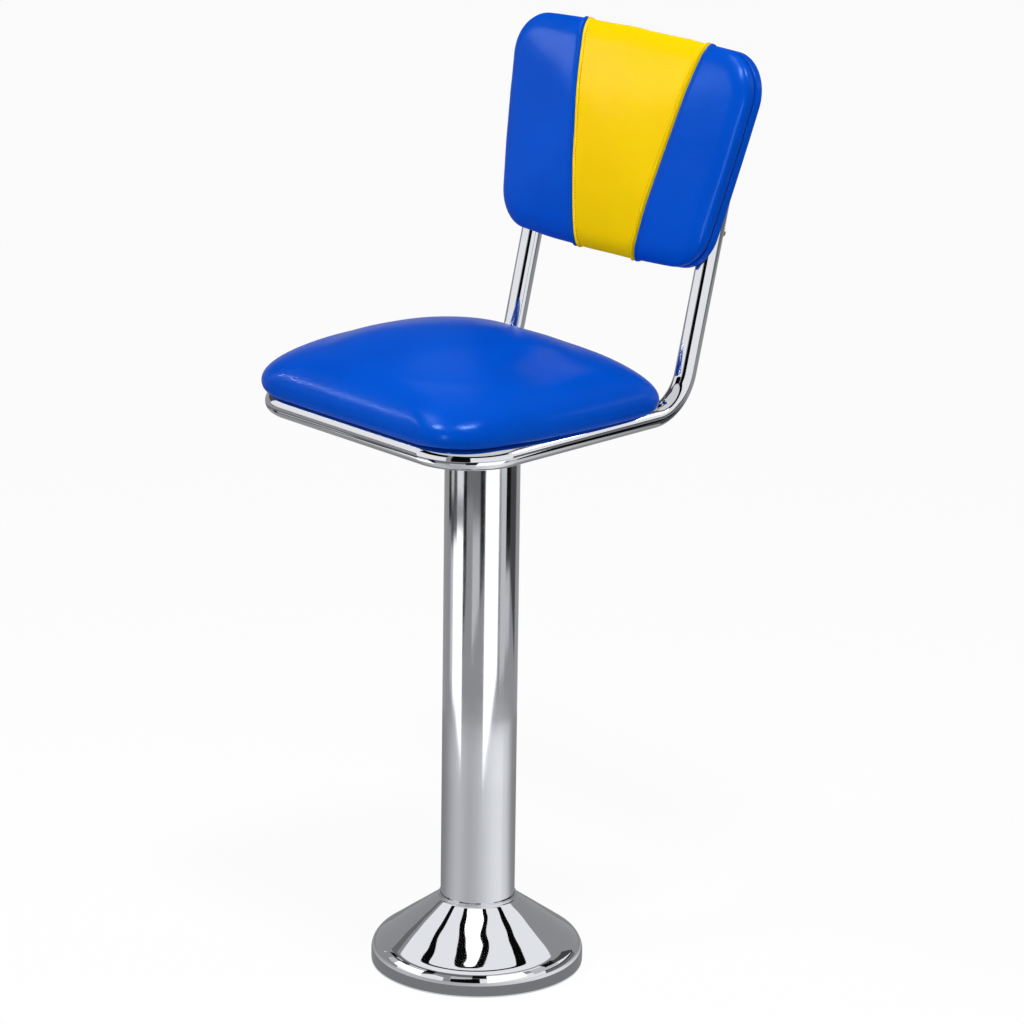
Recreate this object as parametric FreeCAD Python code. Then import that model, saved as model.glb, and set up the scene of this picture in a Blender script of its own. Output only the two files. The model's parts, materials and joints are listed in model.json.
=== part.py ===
import FreeCAD, Part
import math
import os

# Diner counter stool with a back: a bolted floor flange under a spun cone cover, a chromed column,
# a ball-bearing swivel, a bent tube frame and crowned vinyl cushions.
# Units are millimetres. +Z is up, the sitter faces -Y, and the origin is on the column's axis at the floor.

# Column and floor flange
column_diameter = 88.9
column_wall = 1.6
socket_clearance = 0.1
flange_radius = 114.0
flange_thickness = 10.0
flange_core_radius = 30.0
flange_step_height = 6.0
flange_hub_wall = 10.0
flange_hub_height = 38.0
flange_edge_chamfer = 2.0
rib_count = 4
rib_thickness = 8.0
rib_reach = 46.0
rib_end_height = 3.0
bolt_count = 4
bolt_circle_diameter = 190.0
bolt_hole_radius = 5.6
bolt_pad_radius = 13.0
bolt_pad_height = 1.5

# Cone cover, a spinning that slides on the column
cover_radius = 127.0
cover_sheet = 1.2
cover_rim_height = 13.5
cover_shoulder_radius = 24.0
cover_neck_gap = 1.0
cover_neck_base_height = 82.6
cover_lip_height = 2.4
neck_ring_clearance = 0.3
neck_ring_height = 8.0
neck_ring_lip = 1.2

# Bent tube frame
tube_diameter = 25.4
tube_wall = 1.65
frame_height = 687.6
front_rail_y = -190.0
front_corner_half_width = 198.7
rear_bend_y = 165.7
frame_taper = 44.4
front_bend_radius = 63.5
rear_bend_radius = 57.0
upright_lean = 13.1
upright_length = 390.0
plug_dome_height = 5.0
plug_spigot_length = 18.0
plug_clearance = 0.1

# Swivel: cross straps, plate, spindle and bearings
strap_thickness = 5.0
strap_width = 35.0
strap_spacing = 115.0
strap_weld_gap = 0.1
plate_side = 156.0
plate_thickness = 5.0
plate_corner_radius = 16.0
plate_bolt_spacing = 115.0
plate_bolt_radius = 4.0
plate_bolt_head_radius = 8.0
plate_nut_flats = 13.0
plate_nut_height = 6.5
plate_bolt_tail = 3.0
hole_clearance = 0.2
race_thickness = 3.0
race_inner_radius = 13.2
race_outer_radius = 27.0
race_groove_clearance = 0.25
ball_radius = 3.5
ball_count = 10
ball_gap = 3.6
cage_thickness = 1.6
cage_setback = 1.0
cage_clearance = 0.15
housing_flange_thickness = 6.0
housing_length = 84.0
housing_web_thickness = 12.0
housing_tube_radius = 22.0
bushing_radius = 16.0
bushing_fit = 0.03
bushing_length = 26.0
bushing_flange_radius = 20.0
bushing_flange_thickness = 3.0
spindle_radius = 12.5
spindle_clearance = 0.05
spindle_stud_radius = 10.0
spindle_stud_length = 27.0
spindle_chamfer = 1.0
end_play = 0.3
retaining_washer_radius = 18.0
retaining_washer_thickness = 3.0
castle_nut_flats = 30.0
castle_nut_height = 16.0
castle_slot_depth = 5.0
castle_slot_width = 4.0
cotter_radius = 1.6
cotter_length = 40.0

# Seat cushion
cushion_gap = 0.3
seat_front_y = -206.0
seat_rear_y = 126.3
seat_side_setback = 8.3
seat_taper = 3.3
seat_front_corner_radius = 66.0
seat_rear_corner_radius = 47.0
seat_side_bow = 13.4
seat_end_bow = 1.2
seat_under_roll = 5.5
seat_widest_height = 11.7
seat_edge_rise = 25.6
seat_edge_radius = 41.0
seat_crown = 50.9
seat_corner_growth = 1.4
vinyl = 1.2
dust_cloth = 0.6
dust_cloth_hem = 13.0
seat_board_thickness = 12.0
board_margin = 2.0
board_clearance = 0.2
seat_screw_x = 132.0
seat_screw_radius = 2.4
seat_screw_head_radius = 5.0
seat_screw_head_height = 3.0
seat_screw_depth = 9.0

# Backrest, measured in the plane of the uprights from the rear bends
back_bottom = 164.2
back_height = 254.3
back_overhang = 18.8
back_flare = 41.2
back_corner_radius = 52.0
back_side_bow = 2.0
back_end_bow = 4.9
panel_gap = 0.2
panel_inset = 1.0
panel_edge_round = 3.0
panel_board_thickness = 10.0
pad_gap = 0.3
pad_under_roll = 4.0
pad_widest_depth = 9.7
pad_edge_rise = 8.0
pad_edge_radius = 22.0
pad_crown = 9.0
pad_corner_growth = 0.5
back_board_thickness = 9.0
insert_bottom_half_width = 52.0
insert_top_half_width = 106.0
insert_offset = 19.0
back_screw_edge = 48.0
back_screw_spacing = 150.0
back_screw_radius = 3.0
back_screw_head_radius = 6.0
back_screw_head_height = 3.0
tee_nut_radius = 4.5
tee_nut_flange_radius = 9.5
tee_nut_flange_thickness = 1.5
tee_nut_setback = 1.0

# Padded forms: limits of the outline, and where the loft's sections lie
least_bow = 0.3
roundest_corner = 0.92
roll_share = 0.35
roll_height_share = 0.4
edge_steps = (0.0, 0.05, 0.16, 0.36, 0.66, 1.0)
dome_steps = (0.22, 0.46, 0.68, 0.84)

# Cutting tools run past the piece by this much, and screw heads are rounded by this share
overrun = 1.0
head_round_share = 0.6

# Sizes that follow from the ones above
column_radius = column_diameter / 2
column_bore_radius = column_radius - column_wall
tube_radius = tube_diameter / 2
tube_top = frame_height + tube_radius
strap_bottom = tube_top - strap_thickness
plate_bottom = strap_bottom - plate_thickness
bearing_height = 2 * race_thickness + ball_gap
housing_top = plate_bottom - bearing_height
column_top = housing_top - housing_flange_thickness
housing_bottom = housing_top - housing_length
bushing_bottom = housing_bottom - bushing_flange_thickness
washer_top = bushing_bottom - end_play
washer_bottom = washer_top - retaining_washer_thickness
neck_outer_radius = column_radius + neck_ring_clearance + cover_neck_gap + cover_sheet
rear_half_width = front_corner_half_width - frame_taper
seat_front_half_width = front_corner_half_width - seat_side_setback
seat_rear_half_width = seat_front_half_width - seat_taper
seat_bottom = tube_top + cushion_gap
panel_back = tube_radius + panel_gap
panel_front = panel_back + vinyl + panel_board_thickness
pad_back = panel_front + pad_gap
back_bottom_half_width = rear_half_width + back_overhang
back_top_half_width = back_bottom_half_width + back_flare
seat_board_inset = seat_under_roll + vinyl + board_margin
back_board_inset = pad_under_roll + vinyl + board_margin
back_screw_heights = (back_bottom + back_screw_edge, back_bottom + back_screw_edge + back_screw_spacing)

parts = {}


def vec(x, y, z):
    return FreeCAD.Vector(x, y, z)


def save_all():
    """Write one file per named piece."""
    os.makedirs("parts", exist_ok=True)
    for name, shape in parts.items():
        shape.exportStep(os.path.join("parts", name + ".step"))
        print("%-18s solids %2d, volume %8.2f cm3" % (name, len(shape.Solids), shape.Volume / 1000))


def cylinder(radius, bottom, top, x=0.0, y=0.0):
    return Part.makeCylinder(radius, top - bottom, vec(x, y, bottom))


def ring(outer, inner, bottom, top):
    return cylinder(outer, bottom, top).cut(cylinder(inner, bottom - overrun, top + overrun))


def turned(points):
    """Turn a closed outline of (radius, height) points about the column's axis."""
    corners = [vec(r, 0, z) for r, z in points]
    face = Part.Face(Part.makePolygon(corners + corners[:1]))
    return face.revolve(vec(0, 0, 0), vec(0, 0, 1), 360)


def hexagon(across_flats, bottom, top, x=0.0, y=0.0):
    reach = across_flats / math.sqrt(3)
    corners = []
    for step in range(7):
        angle = math.radians(60 * step + 30)
        corners.append(vec(x + reach * math.cos(angle), y + reach * math.sin(angle), bottom))
    return Part.Face(Part.makePolygon(corners)).extrude(vec(0, 0, top - bottom))


def around(shape, count, start=0.0):
    """Copies of a shape, evenly spaced about the column's axis."""
    copies = []
    for step in range(count):
        copy = shape.copy()
        copy.rotate(vec(0, 0, 0), vec(0, 0, 1), start + 360.0 * step / count)
        copies.append(copy)
    return copies


def four_corners(x, y):
    return [(x, y), (-x, y), (-x, -y), (x, -y)]


def bent_path(points, radii):
    """A wire of straight runs with a tangent arc of the given radius at each inner point."""
    edges = []
    start = points[0]
    for before, corner, after, radius in zip(points, points[1:], points[2:], radii):
        back = (before - corner).normalize()
        ahead = (after - corner).normalize()
        half_angle = math.acos(back.dot(ahead)) / 2
        run_off = radius / math.tan(half_angle)
        bisector = (back + ahead).normalize()
        centre = corner + bisector * (radius / math.sin(half_angle))
        middle = centre - bisector * radius
        arc_start = corner + back * run_off
        arc_end = corner + ahead * run_off
        edges.append(Part.LineSegment(start, arc_start).toShape())
        edges.append(Part.Arc(arc_start, middle, arc_end).toShape())
        start = arc_end
    edges.append(Part.LineSegment(start, points[-1]).toShape())
    return Part.Wire(edges)


def rod_along(path, radius, start, direction):
    profile = Part.Wire(Part.Circle(start, direction, radius).toShape())
    return path.makePipeShell([profile], True, False)


# The plane of the uprights: u to the right, v up along the tubes, w forward towards the sitter.
back_plane = FreeCAD.Placement(
    vec(0, rear_bend_y, frame_height), FreeCAD.Rotation(vec(1, 0, 0), 90 - upright_lean))


def in_back_plane(shape):
    placed = shape.copy()
    placed.Placement = back_plane.multiply(placed.Placement)
    return placed


def back_screw_places():
    return [(u, v) for u in (-rear_half_width, rear_half_width) for v in back_screw_heights]


def back_bore(radius, u, v):
    """A hole straight through the whole back at one screw."""
    reach = 8 * tube_radius
    return Part.makeCylinder(radius, 2 * reach, vec(u, v, -reach))


def rounded_head(radius, height, foot):
    """A screw head whose outer end, at its foot, is rounded."""
    head = Part.makeCylinder(radius, height, foot)
    rim = [edge for edge in head.Edges if abs(edge.BoundBox.ZMax - foot.z) < height / 2]
    return head.makeFillet(height * head_round_share, rim)


def bowed_side(start, end, bow):
    """Centre and radius of a shallow arc from start to end that bulges to the right of its run."""
    chord = end - start
    length = chord.Length
    radius = (length * length / 4 + bow * bow) / (2 * bow)
    inward = vec(-chord.y, chord.x, 0).normalize()
    centre = (start + end) * 0.5 + inward * (radius - bow)
    return centre, radius


def inner_circle_centre(first, second, corner_radius, corner):
    """Centre of a corner arc that touches two bowed sides from inside."""
    (c1, r1), (c2, r2) = first, second
    reach1, reach2 = r1 - corner_radius, r2 - corner_radius
    between = c2 - c1
    distance = between.Length
    along = (distance ** 2 + reach1 ** 2 - reach2 ** 2) / (2 * distance)
    height = math.sqrt(max(reach1 ** 2 - along ** 2, 0.0))
    unit = between * (1 / distance)
    foot = c1 + unit * along
    normal = vec(-unit.y, unit.x, 0)
    candidates = [foot + normal * height, foot - normal * height]
    return min(candidates, key=lambda point: (point - corner).Length)


def cushion_outline(front, rear, front_half, rear_half, front_radius, rear_radius,
                    side_bow, end_bow, growth, side_share, inset, level):
    """A rounded four-sided outline with bowed sides, drawn in by an inset.

    The sides come in by side_share times the inset, and the corners round off by growth times it."""
    half_depth = (rear - front) / 2 - inset
    shrink = half_depth / ((rear - front) / 2)
    side_inset = inset * side_share
    front_width, rear_width = front_half - side_inset, rear_half - side_inset
    y0, y1 = front + inset, rear - inset
    corners = [vec(-front_width, y0, level), vec(front_width, y0, level),
               vec(rear_width, y1, level), vec(-rear_width, y1, level)]
    bows = [end_bow * shrink, side_bow * shrink, end_bow * shrink, side_bow * shrink]
    limit = roundest_corner * min(half_depth, front_width, rear_width)
    radii = [min(radius + growth * inset, limit)
             for radius in (front_radius, front_radius, rear_radius, rear_radius)]
    sides = [bowed_side(corners[i], corners[(i + 1) % 4], max(bows[i], least_bow)) for i in range(4)]
    ends, starts, corner_arcs = [None] * 4, [None] * 4, [None] * 4
    for i in range(4):
        before, after = sides[i - 1], sides[i]
        centre = inner_circle_centre(before, after, radii[i], corners[i])
        entry = before[0] + (centre - before[0]).normalize() * before[1]
        leave = after[0] + (centre - after[0]).normalize() * after[1]
        middle = centre + ((entry + leave) * 0.5 - centre).normalize() * radii[i]
        ends[i - 1], starts[i] = entry, leave
        corner_arcs[i] = Part.Arc(entry, middle, leave).toShape()
    edges = []
    for i in range(4):
        centre, radius = sides[i]
        middle = centre + ((starts[i] + ends[i]) * 0.5 - centre).normalize() * radius
        edges.append(corner_arcs[i])
        edges.append(Part.Arc(starts[i], middle, ends[i]).toShape())
    return Part.Wire(edges)


def seat_outline(inset, level):
    side_share = 2 * seat_front_half_width / (seat_rear_y - seat_front_y)
    return cushion_outline(seat_front_y, seat_rear_y, seat_front_half_width, seat_rear_half_width,
                           seat_front_corner_radius, seat_rear_corner_radius,
                           seat_side_bow, seat_end_bow, seat_corner_growth, side_share, inset, level)


def back_outline(inset, level):
    return cushion_outline(back_bottom, back_bottom + back_height,
                           back_bottom_half_width, back_top_half_width,
                           back_corner_radius, back_corner_radius,
                           back_side_bow, back_end_bow, pad_corner_growth, 1.0, inset, level)


def crowned_form(outline, half_depth, bottom, under_roll, widest, edge_rise, edge_radius, crown,
                 skin, drop):
    """A pad that rolls out from its board, turns over a round edge and rises to a crown.

    skin draws the whole form in, and drop carries it below the board's face."""
    sections = [outline(under_roll + skin, bottom - drop),
                outline(roll_share * under_roll + skin, bottom + roll_height_share * widest)]
    insets = [step * edge_radius for step in edge_steps]
    insets += [edge_radius + (half_depth - edge_radius) * step for step in dome_steps]
    for inset in insets:
        turn = min(inset / edge_radius, 1.0)
        edge = edge_rise * math.sqrt(1 - (1 - turn) ** 2)
        dome = crown * (1 - (1 - inset / half_depth) ** 2)
        level = bottom + widest + edge + dome - skin * turn
        sections.append(outline(inset + skin * (1 - turn), level))
    return Part.makeLoft(sections, True, False)


def slab(outline, inset, bottom, top):
    return Part.Face(outline(inset, bottom)).extrude(vec(0, 0, top - bottom))


def build_floor_flange():
    """Cast iron flange: a bolted disc, a socket for the column and four ribs."""
    socket_radius = column_radius + socket_clearance
    hub_radius = socket_radius + flange_hub_wall
    edge = flange_edge_chamfer
    body = turned([(flange_core_radius, 0), (flange_radius, 0),
                   (flange_radius, flange_thickness - edge), (flange_radius - edge, flange_thickness),
                   (hub_radius, flange_thickness), (hub_radius, flange_hub_height - edge),
                   (hub_radius - edge, flange_hub_height), (socket_radius, flange_hub_height),
                   (socket_radius, flange_step_height), (flange_core_radius, flange_step_height)])
    inner = socket_radius + flange_hub_wall / 2
    outer = hub_radius + rib_reach
    side = [vec(inner, -rib_thickness / 2, flange_thickness / 2),
            vec(outer, -rib_thickness / 2, flange_thickness / 2),
            vec(outer, -rib_thickness / 2, flange_thickness + rib_end_height),
            vec(hub_radius, -rib_thickness / 2, flange_hub_height - 2 * edge),
            vec(inner, -rib_thickness / 2, flange_hub_height - 2 * edge)]
    rib = Part.Face(Part.makePolygon(side + side[:1])).extrude(vec(0, rib_thickness, 0))
    body = body.fuse(around(rib, rib_count, 0))
    bolt_radius = bolt_circle_diameter / 2
    first_bolt = 180.0 / bolt_count
    pad = cylinder(bolt_pad_radius, flange_thickness / 2, flange_thickness + bolt_pad_height, bolt_radius)
    body = body.fuse(around(pad, bolt_count, first_bolt))
    hole = cylinder(bolt_hole_radius, -overrun, flange_hub_height, bolt_radius)
    for copy in around(hole, bolt_count, first_bolt):
        body = body.cut(copy)
    parts["floor_flange"] = body.removeSplitter()


def build_column():
    parts["column_tube"] = ring(column_radius, column_bore_radius, flange_step_height, column_top)


def cover_section():
    """Half section of the spun cone, as a closed face, with the height of its lip."""
    centre_r = cover_radius - cover_shoulder_radius
    centre_z = cover_rim_height
    to_neck_r = neck_outer_radius - centre_r
    to_neck_z = cover_neck_base_height - centre_z
    distance = math.hypot(to_neck_r, to_neck_z)
    turn = math.atan2(to_neck_z, to_neck_r) - math.acos(cover_shoulder_radius / distance)
    slope_r, slope_z = -math.sin(turn), math.cos(turn)
    top = cover_neck_base_height + cover_lip_height

    def skin_line(depth):
        """Rim foot, rim top, shoulder middle, shoulder end, neck base and lip top at a depth."""
        radius = cover_shoulder_radius - depth
        rim = cover_radius - depth
        neck = neck_outer_radius - depth
        middle = (centre_r + radius * math.cos(turn / 2), centre_z + radius * math.sin(turn / 2))
        shoulder = (centre_r + radius * math.cos(turn), centre_z + radius * math.sin(turn))
        run = (neck - shoulder[0]) / slope_r
        neck_base = (neck, shoulder[1] + run * slope_z)
        return (rim, 0), (rim, centre_z), middle, shoulder, neck_base, (neck, top)

    def edges(line, reverse):
        p = [vec(r, 0, z) for r, z in line]
        run = [Part.LineSegment(p[0], p[1]).toShape(), Part.Arc(p[1], p[2], p[3]).toShape(),
               Part.LineSegment(p[3], p[4]).toShape(), Part.LineSegment(p[4], p[5]).toShape()]
        return (run[::-1] if reverse else run), p

    outside, p_out = edges(skin_line(0), False)
    inside, p_in = edges(skin_line(cover_sheet), True)
    lip = Part.LineSegment(p_out[-1], p_in[-1]).toShape()
    foot = Part.LineSegment(p_in[0], p_out[0]).toShape()
    return Part.Face(Part.Wire(outside + [lip] + inside + [foot])), top


def build_base_cover():
    """Spun cone and the ring that guides its neck on the column."""
    section, top = cover_section()
    parts["base_cover"] = section.revolve(vec(0, 0, 0), vec(0, 0, 1), 360)
    inner = column_radius + neck_ring_clearance
    outer = neck_outer_radius - cover_sheet
    lip_radius = neck_outer_radius - cover_sheet / 2
    lip_top = top + neck_ring_lip
    parts["neck_ring"] = turned([(inner, top - neck_ring_height), (outer, top - neck_ring_height),
                                 (outer, top), (lip_radius, top), (lip_radius, lip_top), (inner, lip_top)])


def frame_line():
    """The tube's centreline, from the left upright round to the right one, and how it starts."""
    lean = math.radians(upright_lean)
    along = vec(0, math.sin(lean), math.cos(lean))
    right = [vec(front_corner_half_width, front_rail_y, frame_height),
             vec(rear_half_width, rear_bend_y, frame_height),
             vec(rear_half_width, rear_bend_y, frame_height) + along * upright_length]
    left = [vec(-point.x, point.y, point.z) for point in reversed(right)]
    radii = [rear_bend_radius, front_bend_radius, front_bend_radius, rear_bend_radius]
    return bent_path(left + right, radii), left[0], along


def build_frame():
    """One chromed tube: up the left of the back, round the seat and up the right."""
    path, start, along = frame_line()
    outer = rod_along(path, tube_radius, start, along)
    inner = rod_along(path, tube_radius - tube_wall, start, along)
    tube = outer.cut(inner)
    for u, v in back_screw_places():
        hole = Part.makeCylinder(back_screw_radius + hole_clearance, 4 * tube_radius,
                                 vec(u, v, -2 * tube_radius))
        tube = tube.cut(in_back_plane(hole))
    parts["seat_frame"] = tube


def build_upright_plugs():
    """Domed plastic plugs in the open ends of the frame tube."""
    plugs = []
    bore = tube_radius - tube_wall - plug_clearance
    dome_radius = (tube_radius ** 2 + plug_dome_height ** 2) / (2 * plug_dome_height)
    for u in (-rear_half_width, rear_half_width):
        centre = vec(u, upright_length, 0)
        foot = centre - vec(0, plug_spigot_length, 0)
        spigot = Part.makeCylinder(bore, plug_spigot_length, foot, vec(0, 1, 0))
        dome = Part.makeSphere(dome_radius, centre + vec(0, plug_dome_height - dome_radius, 0))
        cap = Part.makeCylinder(tube_radius, plug_dome_height + overrun, centre, vec(0, 1, 0)).common(dome)
        plugs.append(in_back_plane(spigot.fuse(cap)))
    parts["upright_plugs"] = Part.makeCompound(plugs)


def side_rail_x(y):
    """Distance of the side rail's centreline from the middle, at a depth y."""
    share = (y - front_rail_y) / (rear_bend_y - front_rail_y)
    return front_corner_half_width + (rear_half_width - front_corner_half_width) * share


def build_straps():
    """Two flat bars welded between the side rails, flush with the top of the tube."""
    path, start, along = frame_line()
    weld_body = rod_along(path, tube_radius + strap_weld_gap, start, along)
    for name, y in (("front_strap", -strap_spacing / 2), ("rear_strap", strap_spacing / 2)):
        reach = side_rail_x(y)
        bar = Part.makeBox(2 * reach, strap_width, strap_thickness,
                           vec(-reach, y - strap_width / 2, strap_bottom))
        bar = bar.cut(weld_body)
        bar = max(bar.Solids, key=lambda solid: solid.Volume)
        for x in (-plate_bolt_spacing / 2, plate_bolt_spacing / 2):
            bar = bar.cut(countersunk_bolt(x, y, hole_clearance))
        for x in (-seat_screw_x, seat_screw_x):
            bar = bar.cut(cylinder(seat_screw_radius + hole_clearance, strap_bottom - overrun,
                                   tube_top + overrun, x, y))
        parts[name] = bar


def countersunk_bolt(x, y, extra=0.0):
    """A flat-headed bolt, head flush with the strap's top; extra opens it into its hole."""
    radius = plate_bolt_radius + extra
    head = plate_bolt_head_radius + extra
    tail = plate_bottom - plate_nut_height - plate_bolt_tail
    shank = cylinder(radius, tail, tube_top, x, y)
    depth = plate_bolt_head_radius - plate_bolt_radius
    cone = Part.makeCone(radius, head, depth, vec(x, y, tube_top - depth))
    return shank.fuse(cone)


def build_swivel_plate():
    """Square plate that carries the straps, with its bolts and nuts."""
    half = plate_side / 2
    plate = Part.makeBox(plate_side, plate_side, plate_thickness, vec(-half, -half, plate_bottom))
    upright_edges = [edge for edge in plate.Edges
                     if abs(edge.Vertexes[0].Z - edge.Vertexes[-1].Z) > plate_thickness / 2]
    plate = plate.makeFillet(plate_corner_radius, upright_edges)
    low, high = plate_bottom - overrun, strap_bottom + overrun
    plate = plate.cut(cylinder(spindle_radius + hole_clearance, low, high))
    bolts, nuts = [], []
    for x, y in four_corners(plate_bolt_spacing / 2, strap_spacing / 2):
        plate = plate.cut(cylinder(plate_bolt_radius + hole_clearance, low, high, x, y))
        bolts.append(countersunk_bolt(x, y))
        nut_bottom = plate_bottom - plate_nut_height
        bore = cylinder(plate_bolt_radius + hole_clearance / 2, nut_bottom - overrun, high, x, y)
        nuts.append(hexagon(plate_nut_flats, nut_bottom, plate_bottom, x, y).cut(bore))
    parts["swivel_plate"] = plate
    parts["plate_bolts"] = Part.makeCompound(bolts)
    parts["plate_nuts"] = Part.makeCompound(nuts)


def build_thrust_bearing():
    """Two grooved races, a ring of balls and the cage that spaces them."""
    pitch_radius = (race_inner_radius + race_outer_radius) / 2
    middle = housing_top + bearing_height / 2
    groove = Part.makeTorus(pitch_radius, ball_radius + race_groove_clearance, vec(0, 0, middle))
    lower_top = housing_top + race_thickness
    upper_bottom = plate_bottom - race_thickness
    parts["lower_race"] = ring(race_outer_radius, race_inner_radius, housing_top, lower_top).cut(groove)
    parts["upper_race"] = ring(race_outer_radius, race_inner_radius, upper_bottom, plate_bottom).cut(groove)
    ball = Part.makeSphere(ball_radius, vec(pitch_radius, 0, middle))
    parts["bearing_balls"] = Part.makeCompound(around(ball, ball_count))
    cage = ring(race_outer_radius - cage_setback, race_inner_radius + cage_setback,
                middle - cage_thickness / 2, middle + cage_thickness / 2)
    pocket = Part.makeCylinder(ball_radius + cage_clearance, 2 * cage_thickness,
                               vec(pitch_radius, 0, middle - cage_thickness))
    for copy in around(pocket, ball_count):
        cage = cage.cut(copy)
    parts["ball_cage"] = cage


def build_bearing_housing():
    """Spool-shaped casting in the column's top, bored for two bronze bushings."""
    spigot = column_bore_radius - socket_clearance
    bore = bushing_radius + bushing_fit
    web = housing_web_thickness
    parts["bearing_housing"] = turned([
        (bore, housing_top), (column_radius, housing_top), (column_radius, column_top),
        (spigot, column_top), (spigot, column_top - web), (housing_tube_radius, column_top - web),
        (housing_tube_radius, housing_bottom + web), (spigot, housing_bottom + web),
        (spigot, housing_bottom), (bore, housing_bottom)])
    inner = spindle_radius + spindle_clearance
    parts["upper_bushing"] = ring(bushing_radius, inner, housing_top - bushing_length, housing_top)
    parts["lower_bushing"] = turned([
        (inner, bushing_bottom), (bushing_flange_radius, bushing_bottom),
        (bushing_flange_radius, housing_bottom), (bushing_radius, housing_bottom),
        (bushing_radius, bushing_bottom + bushing_length), (inner, bushing_bottom + bushing_length)])


def build_spindle():
    """Spindle welded into the plate, kept by a washer, a castle nut and a cotter pin."""
    stud_bottom = washer_top - spindle_stud_length
    spindle = turned([
        (0, stud_bottom), (spindle_stud_radius - spindle_chamfer, stud_bottom),
        (spindle_stud_radius, stud_bottom + spindle_chamfer), (spindle_stud_radius, washer_top),
        (spindle_radius, washer_top), (spindle_radius, strap_bottom), (0, strap_bottom)])
    parts["retaining_washer"] = ring(retaining_washer_radius, spindle_stud_radius + hole_clearance,
                                     washer_bottom, washer_top)
    nut_bottom = washer_bottom - castle_nut_height
    nut = hexagon(castle_nut_flats, nut_bottom, washer_bottom)
    nut = nut.cut(cylinder(spindle_stud_radius + hole_clearance / 2, nut_bottom - overrun,
                           washer_bottom + overrun))
    slot = Part.makeBox(castle_nut_flats, castle_slot_width, castle_slot_depth,
                        vec(0, -castle_slot_width / 2, nut_bottom))
    for copy in around(slot, 6):
        nut = nut.cut(copy)
    pin_height = nut_bottom + castle_slot_depth / 2
    pin_hole = Part.makeCylinder(cotter_radius + hole_clearance / 2, castle_nut_flats,
                                 vec(-castle_nut_flats / 2, 0, pin_height), vec(1, 0, 0))
    parts["spindle"] = spindle.cut(pin_hole)
    parts["castle_nut"] = nut
    pin_end = vec(-cotter_length / 2, 0, pin_height)
    shank = Part.makeCylinder(cotter_radius, cotter_length, pin_end, vec(1, 0, 0))
    eye = Part.makeTorus(2 * cotter_radius, cotter_radius, pin_end, vec(0, 1, 0))
    parts["cotter_pin"] = shank.fuse(eye)


def build_seat_cushion():
    """Plywood board, crowned foam, vinyl skin, dust cloth and the screws that hold the cushion."""
    half_depth = (seat_rear_y - seat_front_y) / 2

    def form(skin, drop):
        return crowned_form(seat_outline, half_depth, seat_bottom, seat_under_roll, seat_widest_height,
                            seat_edge_rise, seat_edge_radius, seat_crown, skin, drop)

    outside, inside = form(0.0, 0.0), form(vinyl, overrun)
    parts["seat_cover"] = outside.cut(inside)
    board_bottom = seat_bottom + dust_cloth
    board_top = board_bottom + seat_board_thickness
    reach = 2 * seat_front_half_width
    keep = Part.makeBox(2 * reach, 2 * reach, reach, vec(-reach, -reach, seat_bottom))
    pocket = slab(seat_outline, seat_board_inset - board_clearance, seat_bottom - overrun,
                  board_top + board_clearance)
    parts["seat_foam"] = inside.common(keep).cut(pocket)
    board = slab(seat_outline, seat_board_inset, board_bottom, board_top)
    cloth = slab(seat_outline, seat_board_inset + dust_cloth_hem, seat_bottom, board_bottom)
    screws = []
    for x, y in four_corners(seat_screw_x, strap_spacing / 2):
        head_bottom = strap_bottom - seat_screw_head_height
        head = rounded_head(seat_screw_head_radius, seat_screw_head_height, vec(x, y, head_bottom))
        tip = board_bottom + seat_screw_depth
        screws.append(head.fuse(cylinder(seat_screw_radius, strap_bottom, tip, x, y)))
        hole = cylinder(seat_screw_radius + hole_clearance / 2, seat_bottom - overrun,
                        tip + hole_clearance, x, y)
        board = board.cut(hole)
        cloth = cloth.cut(hole)
    parts["seat_board"] = board
    parts["seat_dust_cloth"] = cloth
    parts["seat_screws"] = Part.makeCompound(screws)


def build_rear_panel():
    """Covered board that lies against the uprights, with holes for the back screws."""
    first_turn = panel_edge_round / 3
    panel = Part.makeLoft([back_outline(panel_inset + panel_edge_round, panel_back),
                           back_outline(panel_inset + first_turn, panel_back + first_turn),
                           back_outline(panel_inset, panel_back + panel_edge_round),
                           back_outline(panel_inset, panel_front)], True, True)
    hollow = slab(back_outline, panel_inset + vinyl, panel_back + vinyl, panel_front + overrun)
    cover = panel.cut(hollow)
    board = slab(back_outline, panel_inset + vinyl + board_clearance, panel_back + vinyl, panel_front)
    for u, v in back_screw_places():
        bore = back_bore(back_screw_radius + hole_clearance / 2, u, v)
        cover = cover.cut(bore)
        board = board.cut(bore)
    parts["rear_panel_cover"] = in_back_plane(cover)
    parts["rear_panel_board"] = in_back_plane(board)


def split_back_cover(skin):
    """Cut the pad's cover along the two sewn seams of its V-shaped insert."""
    slope = (insert_top_half_width - insert_bottom_half_width) / back_height
    past_ends = back_corner_radius
    low, high = back_bottom - past_ends, back_bottom + back_height + past_ends
    low_half = insert_bottom_half_width - slope * past_ends
    high_half = insert_top_half_width + slope * past_ends
    far = 2 * back_top_half_width
    depth = 4 * (pad_widest_depth + pad_edge_rise + pad_crown)

    def region(corners):
        base = [vec(u, v, pad_back - depth / 2) for u, v in corners]
        return Part.Face(Part.makePolygon(base + base[:1])).extrude(vec(0, 0, depth))

    low_left, low_right = insert_offset - low_half, insert_offset + low_half
    high_left, high_right = insert_offset - high_half, insert_offset + high_half
    insert = region([(low_left, low), (low_right, low), (high_right, high), (high_left, high)])
    left = region([(-far, low), (low_left, low), (high_left, high), (-far, high)])
    right = region([(low_right, low), (far, low), (far, high), (high_right, high)])
    parts["back_cover_left"] = in_back_plane(skin.common(left))
    parts["back_cover_insert"] = in_back_plane(skin.common(insert))
    parts["back_cover_right"] = in_back_plane(skin.common(right))


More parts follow.
